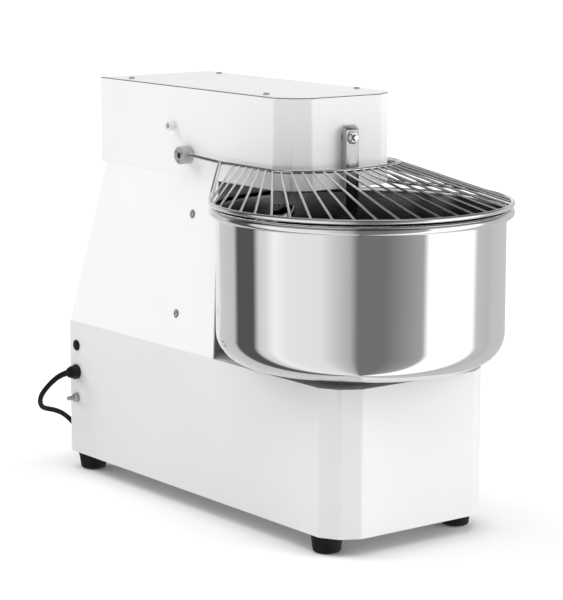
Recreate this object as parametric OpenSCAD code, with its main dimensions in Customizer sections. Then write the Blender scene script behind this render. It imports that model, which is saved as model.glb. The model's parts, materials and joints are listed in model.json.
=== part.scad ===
// Spiral dough mixer with a turning bowl, a spiral hook, a breaker bar and a lifting wire guard.
// The bowl's axis is the natural reference; placed() then centres the whole machine on the origin.

/* [Base] */
// Width of the base casing
base_w = 252; // [240:1:300]
// Distance from the bowl axis forward to the base front
base_front = 115; // [112:1:135]
// Distance from the bowl axis back to the base rear
base_rear = 480; // [480:1:560]
// Height of the base casing above its feet
base_h = 184; // [165:0.1:221]
// Setback of the two-bend front corners of the base
base_cut = 37; // [20:1:45]
// Height of the rubber feet
foot_h = 23; // [10:1:30]
// Radius of a foot at its top
foot_r = 20.5; // [14:0.5:22]

/* [Column and head] */
// Width of the head casing
head_w = 178; // [176:0.1:214]
// Height of the column between base and head
column_h = 220; // [200:1:264]
// Distance from the bowl axis back to the head front
head_front = 29; // [26:1:34]
// Distance from the bowl axis back to the head rear
head_rear = 452; // [445:1:470]
// Height of the head casing with its lid
head_h = 115; // [100:1:140]
// Setback of the two-bend front corners of the head
head_cut = 34; // [18:1:36]
// Slope of the column rear, as the set-in of its top edge
rear_set_in = 40; // [20:1:48]
// Thickness of the casing sheet
sheet = 2; // [1.5:0.1:2.5]
// Thickness of the lid sheet
lid_t = 1.5; // [1:0.1:2]
// Step in from the head's walls to the lid's edge
lid_step = 0.6; // [0:0.1:1]

/* [Bowl] */
// Outer radius of the bowl wall
bowl_r = 180; // [150:1:186]
// Height of the bowl from its floor to the top of its rim
bowl_h = 193; // [160:0.1:196]
// Thickness of the bowl wall
bowl_wall = 1.5; // [1:0.1:2]
// Radius of the turn between bowl wall and floor
bowl_turn = 38; // [20:1:50]
// Radius of the rolled rim bead
rim_bead_r = 5.5; // [4:0.1:6]
// Gap between base top and bowl floor
bowl_gap = 8; // [7:0.5:12]

/* [Spiral and breaker bar] */
// Radius that the spiral hook sweeps
hook_sweep = 62; // [50:0.1:64]
// Radius of the hook rod
hook_rod_r = 11; // [8:0.5:12]
// Gap between the hook or bar and the bowl floor
floor_gap = 6; // [5:0.5:12]
// Width of the breaker bar
bar_w = 20; // [16:0.5:24]
// Thickness of the breaker bar
bar_t = 8; // [6:0.5:9]

/* [Guard] */
// Set-in of the guard ring from the outside of the bowl's rim
ring_set_in = 3; // [0:0.5:6]
// Radius of the ring wire
ring_wire_r = 3; // [2:0.1:3.5]
// Radius of the inner wire and arms
arm_wire_r = 2.5; // [2:0.1:3]
// Radius of one spoke wire
spoke_r = 1.5; // [1:0.1:2]
// Number of spokes
spoke_count = 32; // [16:1:40]

/* [Drive] */
// Teeth on the bowl sprocket
bowl_teeth = 60; // [48:1:60]
// Teeth on the lower drive sprocket
drive_teeth = 10; // [10:1:12]
// Teeth on both upper sprockets
upper_teeth = 18; // [15:1:19]
// Chain pitch
pitch = 9.525; // [8:0.005:9.525]
// Running clearance of a shaft in its bearing, on the radius
run = 0.05; // [0.02:0.01:0.1]
// Distance from the bowl axis back to the jackshaft
jack_y = 256; // [250:1:262]

/* [Hidden] */
$fn = 96;
// Heights
base_z0 = foot_h;
base_z1 = foot_h + base_h;
head_z0 = base_z1 + column_h;
head_z1 = head_z0 + head_h;
lid_z0 = head_z1 - lid_t;
bowl_z0 = base_z1 + bowl_gap;
bowl_z1 = bowl_z0 + bowl_h;
bowl_in_z = bowl_z0 + bowl_wall;
// The whole machine is centred between rim front and base rear
rim_r = bowl_r + 10;
shift_y = (rim_r - base_rear) / 2;
// Column: its sides lean in from base width to head width, its front wraps the bowl at a clear distance
column_r = rim_r + 9;
column_front_top = sqrt(column_r * column_r - head_w * head_w / 4) + 1;
column_front_rake = 39;
column_front_low = column_front_top - column_front_rake;
column_rear_top = base_rear - rear_set_in;
side_lean = atan((base_w - head_w) / 2 / column_h);
rear_lean = atan(rear_set_in / column_h);
// Opening between base and column, and the smaller one through the head floor
duct_x = 60;
duct_y0 = jack_y - 30;
duct_y1 = 400;
head_duct_x = 40;
head_duct_y0 = jack_y + 50;
head_duct_len = 60;
// Spiral position, its bearing flange against the head's side wall, and its heights
spiral_flange_r = 33;
hook_x = -(head_w / 2 - sheet - spiral_flange_r);
hook_y = 84;
hook_r = hook_sweep - hook_rod_r;
hub_r = 18;
hub_h = 18;
hub_top = head_z0 - 3;
hub_z0 = hub_top - hub_h;
hook_low = bowl_in_z + floor_gap + hook_rod_r;
// Shafts and bearings
spiral_shaft_r = 12.5;
jack_shaft_r = 10;
bowl_shaft_r = 15;
shaft_top = head_z0 + 90;
upper_chain_z = head_z0 + 62;
lower_chain_z = foot_h + 48;
tooth_t = 5;
plate_t = 1;
plate_gap = 0.4;
plate_half = 3.6;
roller_r = 2.9;
// Guard: pivot, inner wire and stop
pivot_y = 243;
pivot_z = head_z0 + 28;
wire_z = pivot_z - 2;
arm_x = head_w / 2 + 8;
wire_front = head_front - 28;
front_arc_r = 150;
corner_r = 35;
front_arc_y = wire_front + front_arc_r;
corner_x = arm_x - corner_r;
corner_y = front_arc_y - sqrt(pow(front_arc_r - corner_r, 2) - corner_x * corner_x);
corner_deg = atan2(front_arc_y - corner_y, corner_x);
ring_r = rim_r - ring_set_in;
ring_z = bowl_z1 + ring_wire_r + 2.7;
ring_half_deg = 130;
end_wire_y = 163;
spoke_clear = 18;
hub_rise = 3.5;
hub_len = 15.5;
hub_gap = 1;
guard_hub_r = 11.5;
pin_r = 4;
stop_y = pivot_y + 35;
stop_z = pivot_z + 35;
stop_r = 6.8;
stop_len = 10;
// Breaker bar
bar_gap = 4;
bar_back = head_front - bar_gap;
bar_front = bar_back - bar_t;
bar_top = head_z0 + 79;
bar_bevel = 5.5;
bar_joggle = 8;
bar_bolt_z = head_z0 + 64;
bar_bolt_head = 7.5;
bar_bolt_r = 4;
bar_bolt_nut = 7;
// Gearbox and motor
gear_z0 = base_z1 + 4;
gear_size = 100;
gear_x0 = -50;
gear_x1 = 62;
worm_x = 40;
worm_r = 9.5;
rotor_shaft_r = 7;
axis_z = gear_z0 + gear_size / 2;
gear_y0 = jack_y - gear_size / 2;
gear_y1 = jack_y + gear_size / 2;
gear_wall = 6;
motor_r = 48;
motor_y1 = gear_y1 + 86;
cowl_y1 = motor_y1 + 24;
// Left-side fittings on the base
fit_y = base_rear - 17;
plug_z = base_z0 + 151;
gland_z = base_z0 + 114;
stud_z = base_z0 + 78;
side_x = -base_w / 2;
// Screws
screw_r = 2;
screw_head_r = 4.2;
lid_screw_x = head_w / 2 - 17;
lid_screw_ys = [head_front + 70, head_rear - 51];
side_screws = [[232, base_z1 + 44], [225, base_z1 + 173]];
rear_screw_zs = [base_z1 + 30, base_z1 + 190];
foot_x = base_w / 2 - foot_r - 2;
foot_ys = [-base_front + foot_r + 28.5, base_rear - foot_r - 0.5];
foot_taper = 3;
foot_screw_r = 3;
foot_recess_r = 7;
foot_seat = foot_h * 0.4;
// Push buttons on the right of the head
button_y = 372;
start_z = head_z0 + 76;
stop_button_z = head_z0 + 38;
button_r = 9;
plate_out = 2;
// Cord: radius, route from the gland to the coil, coil and plug
cord_r = 3.5;
cord_route = [
    [-141, 463, 137], [-148, 463, 136], [-157, 465, 132], [-164, 470, 124.5], [-168, 478, 115],
    [-169, 487, 105], [-166, 496, 94.5], [-158, 504, 84.5], [-146, 510, 79], [-131, 515, 74],
    [-115, 519, 66], [-99, 523, 53], [-84, 527, 36.5], [-69, 530, 20], [-54, 532, 8],
    [-38, 533, 3.5], [-20, 533, 3.5], [-2, 532, 3.5], [17, 531, 3.5], [36, 530, 3.5]
];
coil_at = [36, 575.5];
coil_in = 35;
coil_out = 49;
coil_h = 21;
// The tail leaves the top turn of the coil and enters the plug beside it
tail_z = 17.5;
cord_tail = [[36, 530, tail_z], [46, 529, tail_z], [56, 528, tail_z], [66, 527, tail_z]];
plug_boot_len = 17;
plug_body_len = 27;
plug_body_r = tail_z;
plug_pin_len = 19;

// ---------- helpers ----------

// Moves the bowl-axis frame so that the machine is centred on the origin
module placed() translate([0, shift_y, 0]) children();

// Outline with a square rear and two-bend front corners
module cut_outline(w, front, rear, cut) {
    m = cut / 2.732;
    polygon([
        [-w / 2, rear], [-w / 2, front + cut], [-w / 2 + m, front + m], [-w / 2 + cut, front],
        [w / 2 - cut, front], [w / 2 - m, front + m], [w / 2, front + cut], [w / 2, rear]
    ]);
}

// Puts a YZ drawing across the machine, between two X positions
module across(x0, x1) translate([x0, 0, 0]) rotate([90, 0, 90]) linear_extrude(x1 - x0) children();

// Puts an XZ drawing along the machine, between two Y positions
module along(y0, y1) translate([0, y1, 0]) rotate([90, 0, 0]) linear_extrude(y1 - y0) children();

// Turns children so that their +Z points along an axis
module face_left() rotate([0, -90, 0]) children();
module face_right() rotate([0, 90, 0]) children();
module face_front() rotate([90, 0, 0]) children();

// Hollow cylinder
module tube(r_out, r_in, h) difference() {
    cylinder(r = r_out, h = h);
    translate([0, 0, -1]) cylinder(r = r_in, h = h + 2);
}

// Button-head screw: its head stands on z = 0, its shank goes down
module button_screw(r = screw_r, head = screw_head_r, shank = 6) {
    head_h = head * 0.55;
    difference() {
        union() {
            cylinder(r = head, h = head_h * 0.5);
            translate([0, 0, head_h * 0.5]) cylinder(r1 = head, r2 = head * 0.62, h = head_h * 0.5, $fn = 48);
        }
        translate([0, 0, head_h * 0.45]) cylinder(r = r * 0.75, h = head_h, $fn = 6);
    }
    translate([0, 0, -shank]) cylinder(r = r, h = shank);
}

// Straight rod between two points
module rod(a, b, r) {
    d = b - a;
    translate(a) rotate([0, acos(d[2] / norm(d)), atan2(d[1], d[0])]) cylinder(r = r, h = norm(d), $fn = 24);
}

// Pitch radius of a sprocket
function pitch_r(teeth) = pitch / (2 * sin(180 / teeth));

// Sprocket disc with flat-topped teeth
module sprocket(teeth, bore) {
    tip = pitch_r(teeth) + 2.6;
    root = pitch_r(teeth) - 3.2;
    step = 360 / teeth;
    linear_extrude(tooth_t) difference() {
        polygon([for (i = [0:teeth - 1], k = [0:3])
            let (a = i * step + [0, 0.22, 0.44, 0.78][k] * step, r = [root, tip, tip, root][k])
            [r * cos(a), r * sin(a)]]);
        circle(r = bore);
    }
}

// Area inside a belt line round two wheels
module belt_area(c1, r1, c2, r2) {
    d = c2 - c1;
    base_deg = atan2(d[1], d[0]);
    tangent_deg = acos((r1 - r2) / norm(d));
    translate(c1) circle(r = r1);
    translate(c2) circle(r = r2);
    polygon([for (p = [[c1, r1, 1], [c2, r2, 1], [c2, r2, -1], [c1, r1, -1]])
        p[0] + p[1] * [cos(base_deg + p[2] * tangent_deg), sin(base_deg + p[2] * tangent_deg)]]);
}

// Chain round two sprockets: two plate loops, joined by rollers along the straight runs
module chain(c1, r1, c2, r2, z) {
    d = c2 - c1;
    base_deg = atan2(d[1], d[0]);
    tangent_deg = acos((r1 - r2) / norm(d));
    plates_low = z - plate_gap - plate_t;
    plates_high = z + tooth_t + plate_gap;
    for (at_z = [plates_low, plates_high]) translate([0, 0, at_z]) linear_extrude(plate_t) difference() {
        belt_area(c1, r1 + plate_half, c2, r2 + plate_half);
        belt_area(c1, r1 - plate_half, c2, r2 - plate_half);
    }
    for (side = [-1, 1]) {
        n = [cos(base_deg + side * tangent_deg), sin(base_deg + side * tangent_deg)];
        from = c1 + r1 * n;
        to = c2 + r2 * n;
        run_len = norm(to - from);
        first = 4 * pitch;
        for (s = [first:pitch:run_len - first]) translate(from + (to - from) * s / run_len)
            translate([0, 0, plates_low + plate_t])
                cylinder(r = roller_r, h = plates_high - plates_low - plate_t, $fn = 24);
    }
}

// Place and direction along the guard's inner wire, from the left arm round the front to the right arm
arm_run = end_wire_y - corner_y - spoke_clear;
corner_len = corner_r * corner_deg * PI / 180;
front_deg = 180 - 2 * corner_deg;
front_len = front_arc_r * front_deg * PI / 180;
wire_len = 2 * arm_run + 2 * corner_len + front_len;
function on_circle(x, y, r, a) = [x + r * cos(a), y + r * sin(a)];
function degrees(run_len, r) = run_len / r * 180 / PI;
function half_wire(s) =
    s < arm_run ? [-arm_x, corner_y + arm_run - s]
    : s < arm_run + corner_len
        ? on_circle(-corner_x, corner_y, corner_r, 180 + degrees(s - arm_run, corner_r))
        : on_circle(0, front_arc_y, front_arc_r,
            180 + corner_deg + degrees(s - arm_run - corner_len, front_arc_r));
function wire_at(s) = s <= wire_len / 2 ? half_wire(s) : let (p = half_wire(wire_len - s)) [-p[0], p[1]];

// Catmull-Rom point on a list of points
function spline(p, i, t) =
    let (a = p[max(i - 1, 0)], b = p[i], c = p[i + 1], d = p[min(i + 2, len(p) - 1)])
    0.5 * (2 * b + (c - a) * t + (2 * a - 5 * b + 4 * c - d) * t * t + (3 * b - a - 3 * c + d) * t * t * t);

// Unit length of a vector, and a level direction square to it
function unit(v) = v / norm(v);
function square_to(d) = unit(cross(abs(d[2]) > 0.95 ? [1, 0, 0] : [0, 0, 1], d));

// Tube swept along points, with flat ends
module swept_tube(path, r, sides, first_dir, last_dir) {
    n = len(path);
    dirs = [for (i = [0:n - 1])
        i == 0 ? first_dir : i == n - 1 ? last_dir : unit(path[i + 1] - path[i - 1])];
    points = [for (i = [0:n - 1], k = [0:sides - 1])
        let (a = k * 360 / sides, u = square_to(dirs[i]), v = cross(dirs[i], u))
        path[i] + r * (cos(a) * u + sin(a) * v)];
    faces = concat(
        [[for (k = [sides - 1:-1:0]) k]],
        [for (i = [0:n - 2], k = [0:sides - 1])
            let (low = i * sides, high = low + sides, next = (k + 1) % sides)
            [low + k, low + next, high + next, high + k]],
        [[for (k = [0:sides - 1]) (n - 1) * sides + k]]
    );
    polyhedron(points = points, faces = faces, convexity = 10);
}

// ---------- base ----------

module base_casing() color("white") placed() difference() {
    translate([0, 0, base_z0]) linear_extrude(base_h) cut_outline(base_w, -base_front, base_rear, base_cut);
    translate([0, 0, base_z0 - 1]) linear_extrude(base_h - sheet + 1)
        cut_outline(base_w - 2 * sheet, -base_front + sheet, base_rear - sheet, base_cut - sheet);
    translate([0, 0, base_z1 - 5]) cylinder(r = bowl_housing_r, h = 10);
    translate([-duct_x, duct_y0, base_z1 - 5]) cube([2 * duct_x, duct_y1 - duct_y0, 10]);
    for (hole = [[plug_z, 6], [gland_z, 6], [stud_z, 3.1]])
        translate([side_x - 1, fit_y, hole[0]]) face_right() cylinder(r = hole[1], h = sheet + 2);
}

floor_t = 3;
module base_floor_plate() color("gainsboro") placed() translate([0, 0, base_z0])
    linear_extrude(floor_t) difference() {
        cut_outline(base_w - 2 * sheet, -base_front + sheet, base_rear - sheet, base_cut - sheet);
        at_feet() circle(r = foot_screw_r);
    }

// Places of the four feet, standing on z = 0
module at_feet() for (x = [-foot_x, foot_x], y = foot_ys) translate([x, y, 0]) children();

module rubber_feet() color([0.06, 0.06, 0.06]) placed() at_feet() difference() {
    cylinder(r1 = foot_r - foot_taper, r2 = foot_r, h = foot_h);
    translate([0, 0, -1]) cylinder(r = foot_screw_r, h = foot_h + 2);
    translate([0, 0, -1]) cylinder(r = foot_recess_r, h = foot_seat + 1);
}

module foot_screws() color("silver") placed() at_feet() translate([0, 0, foot_seat])
    mirror([0, 0, 1]) button_screw(foot_screw_r, foot_screw_r * 2, foot_h - foot_seat + 8);

// ---------- column ----------

// Side view of the column, drawn in YZ
module column_side_view() polygon([
    [column_front_low, base_z1], [base_rear, base_z1], [column_rear_top, head_z0], [column_front_top, head_z0]
]);

// Front view of the space between the leaning sides, drawn in XZ
module column_front_view(inset) polygon([
    [-base_w / 2 + inset, base_z1], [base_w / 2 - inset, base_z1],
    [head_w / 2 - inset, head_z0], [-head_w / 2 + inset, head_z0]
]);

module column_side_panel(side) placed() difference() {
    intersection() {
        across(-base_w, base_w) column_side_view();
        along(0, base_rear + 10) difference() {
            column_front_view(0);
            column_front_view(sheet);
            translate([side > 0 ? -2 * base_w : 0, 0]) square([2 * base_w, 2 * head_z1]);
        }
    }
    for (s = side_screws) side_screw_place(side, s) translate([0, 0, -5]) cylinder(r = screw_r, h = 10);
}

// Place of a side screw on the leaning outside face, with +Z pointing out of it
module side_screw_place(side, s) {
    x = base_w / 2 - (s[1] - base_z1) * tan(side_lean);
    translate([side * x, s[0], s[1]]) rotate([0, side * (90 - side_lean), 0]) children();
}

module column_left_panel() color("white") column_side_panel(-1);
module column_right_panel() color("white") column_side_panel(1);

module column_front_panel() color("white") placed() intersection() {
    translate([0, 0, base_z1]) tube(column_r + sheet, column_r, column_h);
    along(base_front * 0.5, base_rear) column_front_view(sheet);
}

module rear_screw_place(x, z) translate([x, base_rear - (z - base_z1) * tan(rear_lean), z])
    rotate([-(90 - rear_lean), 0, 0]) children();

module column_rear_cover() color("white") placed() difference() {
    intersection() {
        across(-base_w, base_w) polygon([
            [base_rear, base_z1], [column_rear_top, head_z0],
            [column_rear_top - sheet, head_z0], [base_rear - sheet, base_z1]
        ]);
        along(0, base_rear + 10) column_front_view(sheet);
    }
    for (x = [-1, 1], z = rear_screw_zs) rear_screw_place(x * rear_screw_x(z), z)
        translate([0, 0, -5]) cylinder(r = screw_r, h = 10);
    for (i = [0:6]) translate([-45, base_rear - 60, base_z1 + 70 + i * 11]) cube([90, 80, 4]);
}
function rear_screw_x(z) = base_w / 2 - (z - base_z1) * tan(side_lean) - 12;

module column_screws() color("silver") placed() for (side = [-1, 1]) {
    for (s = side_screws) side_screw_place(side, s) button_screw();
    for (z = rear_screw_zs) rear_screw_place(side * rear_screw_x(z), z) button_screw();
}

post_w = 16;
post_x = head_w / 2 - 13;
module column_posts() color("gray") placed() for (x = [-1, 1], y = [jack_y - 44, base_rear - 62])
    translate([x * post_x - post_w / 2, y, base_z1]) cube([post_w, post_w, column_h]);

// ---------- head ----------

module head_wall_outline(inset)
    cut_outline(head_w - 2 * inset, head_front + inset, head_rear - inset, head_cut - inset);

module head_casing() color("white") placed() {
    difference() {
        translate([0, 0, head_z0]) linear_extrude(lid_z0 - head_z0) difference() {
            head_wall_outline(0);
            head_wall_outline(sheet);
        }
        translate([-head_w, pivot_y, pivot_z]) face_right() cylinder(r = pin_r, h = 2 * head_w);
        translate([-head_w, stop_y, stop_z]) face_right() cylinder(r = screw_r, h = head_w);
        translate([0, head_front + 10, bar_bolt_z]) face_front() cylinder(r = bar_bolt_r, h = 20);
        for (z = [start_z, stop_button_z]) translate([0, button_y, z]) face_right()
            cylinder(r = button_r + 2, h = head_w);
    }
    for (x = [-1, 1], y = lid_screw_ys) difference() {
        translate([x > 0 ? lid_screw_x - 8 : -head_w / 2 + sheet, y - 8, lid_z0 - sheet])
            cube([head_w / 2 - sheet - lid_screw_x + 8, 16, sheet]);
        translate([x * lid_screw_x, y, lid_z0 - 5]) cylinder(r = screw_r, h = 10);
    }
}

module head_floor() color("white") placed() translate([0, 0, head_z0]) linear_extrude(floor_t) difference() {
    head_wall_outline(sheet);
    translate([hook_x, hook_y]) circle(r = spiral_shaft_r + 2);
    translate([0, jack_y]) circle(r = jack_shaft_r + 2);
    translate([-head_duct_x, head_duct_y0]) square([2 * head_duct_x, head_duct_len]);
}

module head_lid() color("white") placed() translate([0, 0, lid_z0]) linear_extrude(lid_t) difference() {
    head_wall_outline(lid_step);
    for (x = [-lid_screw_x, lid_screw_x], y = lid_screw_ys) translate([x, y]) circle(r = screw_r);
}

module lid_screws() color("silver") placed() for (x = [-lid_screw_x, lid_screw_x], y = lid_screw_ys)
    translate([x, y, head_z1]) button_screw();

// ---------- breaker bar ----------

bar_low = bowl_in_z + floor_gap;
module breaker_bar() color("silver") placed() difference() {
    across(-bar_w / 2, bar_w / 2) polygon([
        [bar_front, bar_top - bar_bevel], [bar_back, bar_top],
        [bar_back, head_z0 - 20], [bar_back + bar_joggle, head_z0 - 34],
        [bar_back + bar_joggle, bar_low], [bar_front + bar_joggle, bar_low],
        [bar_front + bar_joggle, head_z0 - 37], [bar_front, head_z0 - 23]
    ]);
    translate([0, bar_back + 1, bar_bolt_z]) face_front() cylinder(r = bar_bolt_r, h = bar_t + 2);
}

module breaker_bar_spacers() color("dimgray") placed() {
    translate([0, head_front, bar_bolt_z]) face_front() tube(8, bar_bolt_r, bar_gap);
    translate([0, head_front, head_z0 + 18]) face_front() cylinder(r = 6, h = bar_gap);
}

module breaker_bar_bolt() color("silver") placed() {
    translate([0, bar_front, bar_bolt_z]) face_front() union() {
        cylinder(r = bar_bolt_r, h = bar_bolt_head);
        cylinder(r = 7.5, h = 4.2, $fn = 6);
        cylinder(r = 8.2, h = 1.4);
    }
    translate([0, head_front + sheet + bar_bolt_nut + 5, bar_bolt_z]) face_front()
        cylinder(r = bar_bolt_r, h = bar_bolt_nut + 5 + sheet + bar_gap + bar_t);
    translate([0, head_front + sheet + bar_bolt_nut, bar_bolt_z]) face_front()
        cylinder(r = 7.5, h = bar_bolt_nut, $fn = 6);
}

// ---------- gearbox, motor and shafts ----------

// Bracket under the gearbox, between the posts
bracket_x = post_x - post_w / 2;
bracket_rim = 8;
module gearbox_bracket() color("gray") placed() translate([0, 0, base_z1])
    linear_extrude(gear_z0 - base_z1) difference() {
        translate([-bracket_x, duct_y0 - bracket_rim - 6])
            square([2 * bracket_x, duct_y1 - duct_y0 + 2 * bracket_rim + 6]);
        translate([0, jack_y]) circle(r = jack_shaft_r + 4);
    }

module gearbox_housing() color("silver") placed() difference() {
    translate([gear_x0, gear_y0, gear_z0]) cube([gear_x1 - gear_x0, gear_size, gear_size]);
    translate([gear_x0 + gear_wall, gear_y0 + gear_wall, gear_z0 + gear_wall])
        cube([gear_x1 - gear_x0 - 2 * gear_wall, gear_size - 2 * gear_wall, gear_size - 2 * gear_wall]);
    translate([0, jack_y, gear_z0 - 1]) cylinder(r = jack_shaft_r + run, h = gear_size + 2);
    translate([worm_x, gear_y1 + 1, axis_z]) face_front()
        cylinder(r = rotor_shaft_r + run, h = gear_wall + 2);
}

motor_len = motor_y1 - gear_y1;
module motor_body() color([0.35, 0.38, 0.42]) placed() translate([worm_x, motor_y1, axis_z])
    face_front() difference() {
        union() {
            cylinder(r = motor_r - 3, h = motor_len);
            for (a = [0:15:345]) rotate([0, 0, a]) translate([motor_r - 6, -1, 0])
                cube([6, 2, motor_len - 12]);
        }
        translate([0, 0, 6]) cylinder(r = motor_r - 13, h = motor_len - 12);
        translate([0, 0, -1]) cylinder(r = rotor_shaft_r + run, h = motor_len + 2);
    }

cowl_t = 1.5;
cowl_len = cowl_y1 - motor_y1;
module fan_cowl() color([0.2, 0.2, 0.22]) placed() translate([worm_x, cowl_y1, axis_z])
    face_front() difference() {
        cylinder(r = motor_r, h = cowl_len);
        translate([0, 0, cowl_t]) cylinder(r = motor_r - cowl_t, h = cowl_len);
        for (r = [12:9:39], a = [0:30:330]) rotate([0, 0, a]) translate([r, 0, -1])
            cylinder(r = 1.8, h = 4, $fn = 16);
    }

module terminal_box() color([0.2, 0.2, 0.22]) placed()
    translate([worm_x - 25, gear_y1 + 20, axis_z + motor_r]) cube([50, 50, 22]);

// Worm wheel: its teeth stop half a millimetre short of the worm
wheel_teeth = 28;
wheel_t = 20;
wheel_tip_r = worm_x - worm_r - 0.5;
module worm_wheel() color("goldenrod") placed() translate([0, jack_y, axis_z - wheel_t / 2])
    linear_extrude(wheel_t) difference() {
        polygon([for (i = [0:wheel_teeth - 1], k = [0:3])
            let (a = (i + k / 4) * 360 / wheel_teeth, r = wheel_tip_r - [3, 0, 0, 3][k])
            [r * cos(a), r * sin(a)]]);
        circle(r = jack_shaft_r);
    }

// Rotor, its shaft, and the worm as a row of ridges beside the wheel
module motor_rotor() color("silver") placed() translate([worm_x, cowl_y1 - 4, axis_z]) face_front() {
    cylinder(r = rotor_shaft_r, h = cowl_y1 - 4 - gear_y0 - gear_wall - 2);
    translate([0, 0, cowl_len - 4 + 10]) cylinder(r = motor_r - 14, h = motor_len - 20);
    for (i = [0:6]) translate([0, 0, cowl_y1 - 4 - jack_y - 21 + i * 6]) {
        cylinder(r1 = rotor_shaft_r, r2 = worm_r, h = 2);
        translate([0, 0, 2]) cylinder(r1 = worm_r, r2 = rotor_shaft_r, h = 2);
    }
}

fan_t = 12;
module cooling_fan() color([0.15, 0.15, 0.15]) placed() translate([worm_x, cowl_y1 - 6, axis_z])
    face_front() difference() {
        union() {
            cylinder(r = 14, h = fan_t);
            for (a = [0:45:315]) rotate([0, 0, a]) translate([12, -1, 0]) cube([26, 2, fan_t]);
        }
        translate([0, 0, -1]) cylinder(r = rotor_shaft_r, h = fan_t + 2);
    }

module jackshaft() color("silver") placed() translate([0, jack_y, foot_h + 5])
    cylinder(r = jack_shaft_r, h = shaft_top - foot_h - 5);

// Bearing in a flanged block, standing on z = 0
module bearing_block(shaft_r, outer_r, h) {
    tube(outer_r + 8, outer_r, h);
    tube(outer_r + 20, outer_r + 8, 5);
    tube(outer_r, shaft_r + run, h);
}

module jackshaft_bearings() color("dimgray") placed() {
    translate([0, jack_y, base_z0 + floor_t]) bearing_block(jack_shaft_r, 23.5, 14);
    translate([0, jack_y, head_z0 + floor_t]) bearing_block(jack_shaft_r, 23.5, 14);
}

module jackshaft_sprockets() color("dimgray") placed() {
    translate([0, jack_y, lower_chain_z]) sprocket(drive_teeth, jack_shaft_r);
    translate([0, jack_y, upper_chain_z]) sprocket(upper_teeth, jack_shaft_r);
    translate([0, jack_y, upper_chain_z + tooth_t]) tube(18, jack_shaft_r, 12);
}

spiral_housing_h = 46;
module spiral_bearing_housing() color("dimgray") placed() translate([hook_x, hook_y, head_z0 + floor_t]) {
    tube(32, 26, spiral_housing_h);
    tube(spiral_flange_r, 32, 6);
}

module spiral_shaft() color("silver") placed() translate([hook_x, hook_y, 0]) {
    translate([0, 0, hub_z0]) cylinder(r = hub_r, h = hub_h);
    translate([0, 0, hub_top]) cylinder(r = spiral_shaft_r, h = shaft_top - hub_top);
}

module spiral_sprocket() color("dimgray") placed() translate([hook_x, hook_y, upper_chain_z]) {
    sprocket(upper_teeth, spiral_shaft_r);
    translate([0, 0, tooth_t]) tube(20, spiral_shaft_r, 12);
}

module upper_chain() color("gray") placed()
    chain([0, jack_y], pitch_r(upper_teeth), [hook_x, hook_y], pitch_r(upper_teeth), upper_chain_z);

module lower_chain() color("gray") placed()
    chain([0, 0], pitch_r(bowl_teeth), [0, jack_y], pitch_r(drive_teeth), lower_chain_z);

bowl_housing_r = 38;
bowl_housing_z0 = lower_chain_z + 44;
module bowl_bearing_housing() color("dimgray") placed() {
    translate([0, 0, bowl_housing_z0]) tube(bowl_housing_r, 31, base_z1 + 2 - bowl_housing_z0);
    translate([0, 0, base_z1 - sheet - 6]) tube(60, bowl_housing_r, 6);
}

module ball_bearings() color("silver") placed() {
    for (z = [bowl_housing_z0, base_z1 - 14]) translate([0, 0, z]) tube(31, bowl_shaft_r + run, 16);
    for (z = [0, spiral_housing_h - 15]) translate([hook_x, hook_y, head_z0 + floor_t + z])
        tube(26, spiral_shaft_r + run, 15);
}

// ---------- bowl ----------

bolt_circle = 50;
module bowl() color("silver") placed() difference() {
    rotate_extrude() {
        translate([0, bowl_z0]) square([bowl_r - bowl_turn, bowl_wall]);
        translate([bowl_r - bowl_turn, bowl_z0 + bowl_turn]) intersection() {
            difference() {
                circle(r = bowl_turn);
                circle(r = bowl_turn - bowl_wall);
            }
            translate([0, -bowl_turn]) square(bowl_turn);
        }
        translate([bowl_r - bowl_wall, bowl_z0 + bowl_turn])
            square([bowl_wall, bowl_h - bowl_turn - rim_bead_r]);
        translate([rim_r - rim_bead_r, bowl_z1 - rim_bead_r]) circle(r = rim_bead_r, $fn = 48);
    }
    for (a = [45:90:315]) rotate([0, 0, a]) translate([bolt_circle, 0, bowl_z0 - 1]) cylinder(r = 4, h = 5);
}

module bowl_flange() color("dimgray") placed() difference() {
    translate([0, 0, bowl_z0 - 4]) cylinder(r = 70, h = 4);
    for (a = [45:90:315]) rotate([0, 0, a]) translate([bolt_circle, 0, bowl_z0 - 5]) cylinder(r = 4, h = 6);
}

module bowl_bolts() color("silver") placed() for (a = [45:90:315]) rotate([0, 0, a])
    translate([bolt_circle, 0, bowl_in_z]) button_screw(4, 7, bowl_wall + 4);

module bowl_shaft() color("silver") placed() translate([0, 0, lower_chain_z - 4])
    cylinder(r = bowl_shaft_r, h = bowl_z0 - 4 - lower_chain_z + 4);

module bowl_sprocket() color("dimgray") placed() translate([0, 0, lower_chain_z]) {
    sprocket(bowl_teeth, bowl_shaft_r);
    translate([0, 0, tooth_t]) tube(26, bowl_shaft_r, 14);
}

// ---------- spiral hook ----------

// The rod leaves the hub, swings out to full radius and winds down to the bowl floor
hook_turns = 1.35;
hook_start_deg = -100;
hook_top = hub_z0 + 3;
function hook_point(t) =
    let (grow = min(1, t / 0.16), r = hook_r * grow * grow * (3 - 2 * grow),
        a = hook_start_deg - 360 * hook_turns * t, drop = 1 - pow(1 - t, 1.15))
    [r * cos(a), r * sin(a), hook_top - (hook_top - hook_low) * drop];
module spiral_hook() color("silver") placed() translate([hook_x, hook_y, 0])
    swept_tube([for (i = [0:72]) hook_point(i / 72)], hook_rod_r, 16, [0, 0, -1],
        unit(hook_point(1) - hook_point(0.98)));

// ---------- guard ----------

module mirrored_x() {
    children();
    mirror([1, 0, 0]) children();
}

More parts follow.
